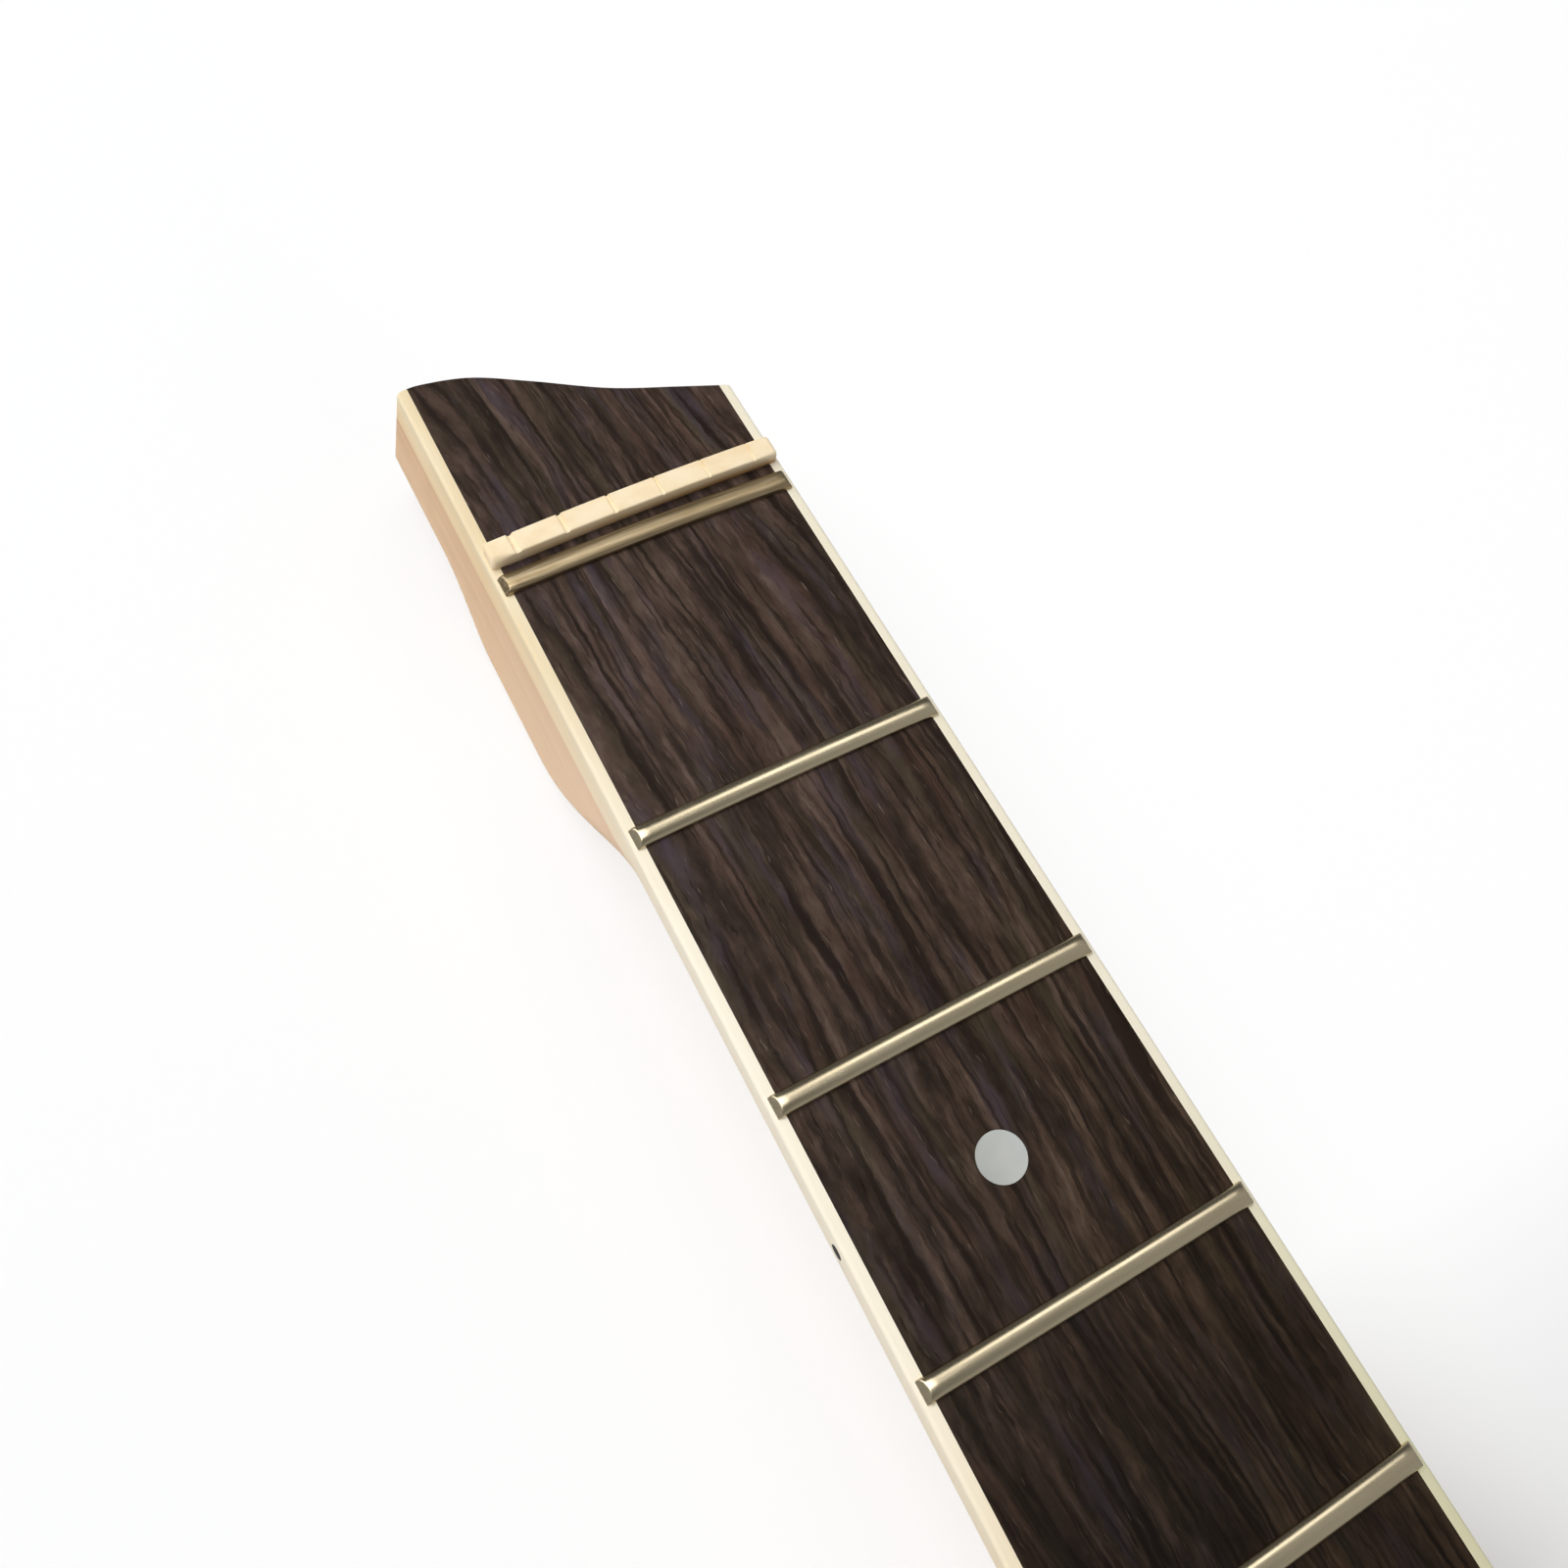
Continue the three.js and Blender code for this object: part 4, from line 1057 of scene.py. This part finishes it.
def make_nut(material):
    """Nut: rows along it, with a rounded groove for each string and a tongue in the board."""
    tongue_half = NUT_HALF - NUT_OVER_BINDING - BINDING
    spread = NUT_HALF - NUT_SLOT_MARGIN
    places = np.linspace(-spread, spread, len(STRING_SLOT_WIDTHS))
    upper, lower = [], []
    for y in nut_rows(places):
        end_round = NUT_FRONT_ROUND_AT_BASS_END if y > 0 else NUT_FRONT_ROUND_AT_TREBLE_END
        softness = smooth(abs(y), NUT_HALF - NUT_SOFT_END, NUT_HALF)
        across, fall = nut_outline(mix(NUT_ROUND, end_round, softness))
        reach = mix(NUT_SLOT_DEPTH_AT_FRONT, NUT_SLOT_DEPTH_AT_BACK, across / NUT_THICKNESS)
        groove = np.zeros_like(across)
        for place, width in zip(places, STRING_SLOT_WIDTHS):
            openness = max(0.0, 1 - (2 * abs(y - place) / width) ** NUT_SLOT_POWER)
            deep = mix(NUT_SLOT_LEAST_SHARE, 1, width / STRING_SLOT_WIDTHS[-1])
            groove = np.maximum(groove, openness * deep * reach)
        past = max(0.0, abs(y) - (NUT_HALF - NUT_END_ROUND)) / NUT_END_ROUND
        end_fall = NUT_END_ROUND * (1 - math.sqrt(max(0.0, 1 - past**2)))
        height = np.maximum(NUT_HEIGHT - np.maximum(fall, groove) - end_fall, 0)
        narrowed = 1 - NUT_END_NARROWING_SHARE * past**3
        x = nut_front(y) + NUT_THICKNESS / 2 + (across - NUT_THICKNESS / 2) * narrowed
        depth = NUT_TONGUE_DEPTH if abs(y) < tongue_half else 0.0
        upper.append(row(x, y, crown_z(y) + height))
        lower.append(row(x, y, crown_z(y) - depth))
    obj = bar_mesh("nut_fine", upper, lower, NUT_SHARP_DEGREES)
    return finish_piece(obj, material, ["nut"])


def make_inlay(node, material):
    obj = round_plug(node, "z", CROWN_TOP, lambda x, y: crown_z(y), INLAY_SIDES)
    return finish_piece(obj, material, [node])


def make_side_dot(node, material):
    obj = round_plug(node, "y", half_at(middle(node)[0]), side_y, SIDE_DOT_SIDES)
    return finish_piece(obj, material, [node])


def make_adjuster(material):
    """The adjuster's barrel: chamfered ends and a hexagon socket."""
    start, end = low("truss_adjuster"), high("truss_adjuster")
    place = (start[0], *middle("truss_adjuster")[1:])
    radius, length = (end[1] - start[1]) / 2, end[0] - start[0]
    c = ADJUSTER_CHAMFER
    profile = ((0, radius - c), (c, radius), (length - c, radius), (length, radius - c))
    obj = turned("truss_adjuster_fine", profile, place, "x")
    corner = SOCKET_ACROSS_FLATS / math.sqrt(3)
    cut(obj, [turned("socket", ((-OVERRUN, corner), (SOCKET_DEPTH, corner)), place, "x", 6)])
    return finish_piece(obj, material, ["truss_adjuster"], "truss_screw")


# Stage

# The floor: its colour in the light, and its own white, which takes the place of a share
# of that colour. Metal mirrors it as a plain grey.
FLOOR_REACH = 3000.0
FLOOR_COLOUR = (0.885, 0.9, 0.92, 1.0)
FLOOR_GLOW = 0.82
FLOOR_GLOW_BASS_SIDE = 0.6
FLOOR_GLOW_STRENGTH = 1.03
FLOOR_MIRRORED = 0.35
WHITE = (1.0, 1.0, 1.0, 1.0)


def make_floor():
    reach = FLOOR_REACH * MM
    mesh = bpy.data.meshes.new("floor")
    corners = [(-reach, -reach, 0), (reach, -reach, 0), (reach, reach, 0), (-reach, reach, 0)]
    mesh.from_pydata(corners, [], [(0, 1, 2, 3)])
    obj = add_object("floor", mesh)
    s = Shader("floor_pale")
    diffuse = s.node("BsdfDiffuse", {"Color": FLOOR_COLOUR}).outputs[0]
    glow = s.node("Emission", {"Color": WHITE, "Strength": FLOOR_GLOW_STRENGTH}).outputs[0]
    mirrored = s.node("Emission", {"Color": WHITE, "Strength": FLOOR_MIRRORED}).outputs[0]
    path = s.node("LightPath").outputs
    seen = s.math("MAXIMUM", path["Is Camera Ray"], path["Is Transmission Ray"])
    x, y, _ = s.parts(s.place())
    share = s.remap(y, -20, 24, FLOOR_GLOW, FLOOR_GLOW_BASS_SIDE)
    # Painted shadow: a patch beyond the treble side is greyer
    painted_floor_shadow = s.times(
        s.remap(x, 342, 300, 0.0, 0.85), s.remap(x, 150, 230),
        s.remap(y, -160, -80), s.remap(y, -20, -34),
    )
    share = s.times(seen, s.math("SUBTRACT", share, painted_floor_shadow))
    lit = s.node("MixShader", {0: share, 1: diffuse, 2: glow}).outputs[0]
    lit = s.node("MixShader", {0: path["Is Glossy Ray"], 1: lit, 2: mirrored}).outputs[0]
    # From below the floor lets the eye through, so that the underside can be seen
    clear = s.node("BsdfTransparent").outputs[0]
    backfacing = s.node("NewGeometry").outputs["Backfacing"]
    both = s.node("MixShader", {0: backfacing, 1: lit, 2: clear}).outputs[0]
    s.tree.links.new(both, s.tree.nodes["Material Output"].inputs["Surface"])
    obj.data.materials.append(s.material)


# The studio round the neck. Two regions of it are darker: each has its direction, the dot
# products between which the light falls there, and the share of light that is left.
ROOM_LIGHT = 0.42
ROOM_TINT = (1.0, 0.99, 0.97, 1.0)
DARKER_REGIONS = (
    ((0.95, -0.3, 0.0), 0.3, 0.75, 0.25),
    ((-0.45, 0.3, 0.84), 0.7, 0.95, 0.45),
)


def make_world():
    world = bpy.data.worlds.new("studio")
    bpy.context.scene.world = world
    world.use_nodes = True
    world.node_tree.nodes.clear()
    s = Nodes(world.node_tree)
    direction = s.node("TexCoord").outputs["Generated"]
    strength = ROOM_LIGHT
    for towards, start, end, left in DARKER_REGIONS:
        dot = s.node("VectorMath", {0: direction, 1: towards}, operation="DOT_PRODUCT")
        fall = s.remap(dot.outputs["Value"], start, end, 1.0, left, "SMOOTHSTEP")
        strength = s.times(fall, strength)
    soft = s.node("Background", {"Color": ROOM_TINT, "Strength": strength}).outputs[0]
    white = s.node("Background", {"Color": WHITE, "Strength": 1.0}).outputs[0]
    seen = s.node("LightPath").outputs["Is Camera Ray"]
    s.node("OutputWorld", {0: s.node("MixShader", {0: seen, 1: soft, 2: white}).outputs[0]})


# A narrow key that the frets' crowns mirror, a broad fill from the bass side and a lamp for
# the head's side. Each has its place, its size across the neck and up, its power and tint.
LAMPS = {
    "key": ((768, -322, 800), (395, 300), 0.82, (1.0, 0.985, 0.95)),
    "fill": ((700, 420, 1000), (1000, 1000), 9.8, (1.0, 0.995, 0.985)),
    "head_side": ((1500, 700, 500), (700, 700), 3.0, (1.0, 0.995, 0.985)),
}
LAMP_TARGET = (390, 0, 26)


def make_lights():
    for name, (place, size, power, tint) in LAMPS.items():
        data = bpy.data.lights.new(name, "AREA")
        data.shape = "RECTANGLE"
        data.size, data.size_y = (s * MM for s in size)
        data.energy, data.color = power, tint
        place = Vector(place) * MM
        back = (place - Vector(LAMP_TARGET) * MM).normalized()
        along = Vector((0, 1, 0)).cross(back).normalized()
        turn = Matrix((back.cross(along), -along, back)).transposed()
        add_object(name, data).matrix_world = Matrix.Translation(place) @ turn.to_4x4()


# Camera, solved from the spacing of the frets in the photograph
CAMERA_PLACE = (369.1, 59.98, 189.47)
CAMERA_RIGHT = (-0.47986, -0.8643, 0.15074)
CAMERA_DOWN = (-0.82842, 0.38979, -0.40223)
FOCAL_PIXELS = 1557.47
PHOTO_PIXELS = 1600
PHOTO_CENTRE = (788.0, 796.0)
SENSOR = 36.0
# From near to far, in metres
CAMERA_RANGE = (0.005, 50)


def make_camera():
    data = bpy.data.cameras.new("camera")
    data.sensor_width = SENSOR
    data.lens = FOCAL_PIXELS * SENSOR / PHOTO_PIXELS
    data.shift_x = (PHOTO_PIXELS / 2 - PHOTO_CENTRE[0]) / PHOTO_PIXELS
    data.shift_y = (PHOTO_CENTRE[1] - PHOTO_PIXELS / 2) / PHOTO_PIXELS
    data.clip_start, data.clip_end = CAMERA_RANGE
    obj = add_object("camera", data)
    right = Vector(CAMERA_RIGHT).normalized()
    up = -Vector(CAMERA_DOWN)
    up = (up - right * up.dot(right)).normalized()
    back = right.cross(up)
    rotation = Matrix((right, up, back)).transposed().to_4x4()
    obj.matrix_world = Matrix.Translation(Vector(CAMERA_PLACE) * MM) @ rotation
    bpy.context.scene.camera = obj


def main():
    make_camera()
    wood, dark_wood = maple(), rosewood()
    cream, ivory = cream_plastic(), nut_material()
    wire = fret_wire("fret_nickel_silver", *NEW_WIRE)
    levelled_wire = fret_wire("zero_fret_nickel_silver", *WORN_WIRE)
    shell, black, metal = pearl(), black_plastic(), steel()

    make_shaft(wood)
    make_board(dark_wood)
    make_binding(1, "binding_bass", cream)
    make_binding(-1, "binding_treble", cream)
    make_heel_strip(cream)
    make_nut(ivory)
    make_fret(FRET_NODES[0], levelled_wire, ZERO_FRET_CROWN)
    for node in FRET_NODES[1:]:
        make_fret(node, wire, FRET_CROWN)
    for node in INLAY_NODES:
        make_inlay(node, shell)
    for node in SIDE_DOT_NODES:
        make_side_dot(node, black)
    make_adjuster(metal)
    for node in ("truss_rod", "truss_bar", "truss_block_heel", "truss_block_head"):
        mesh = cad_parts[node].data
        mesh.materials.clear()
        mesh.materials.append(metal)

    make_floor()
    make_world()
    make_lights()

    scene = bpy.context.scene
    scene.view_settings.view_transform = "Standard"


main()
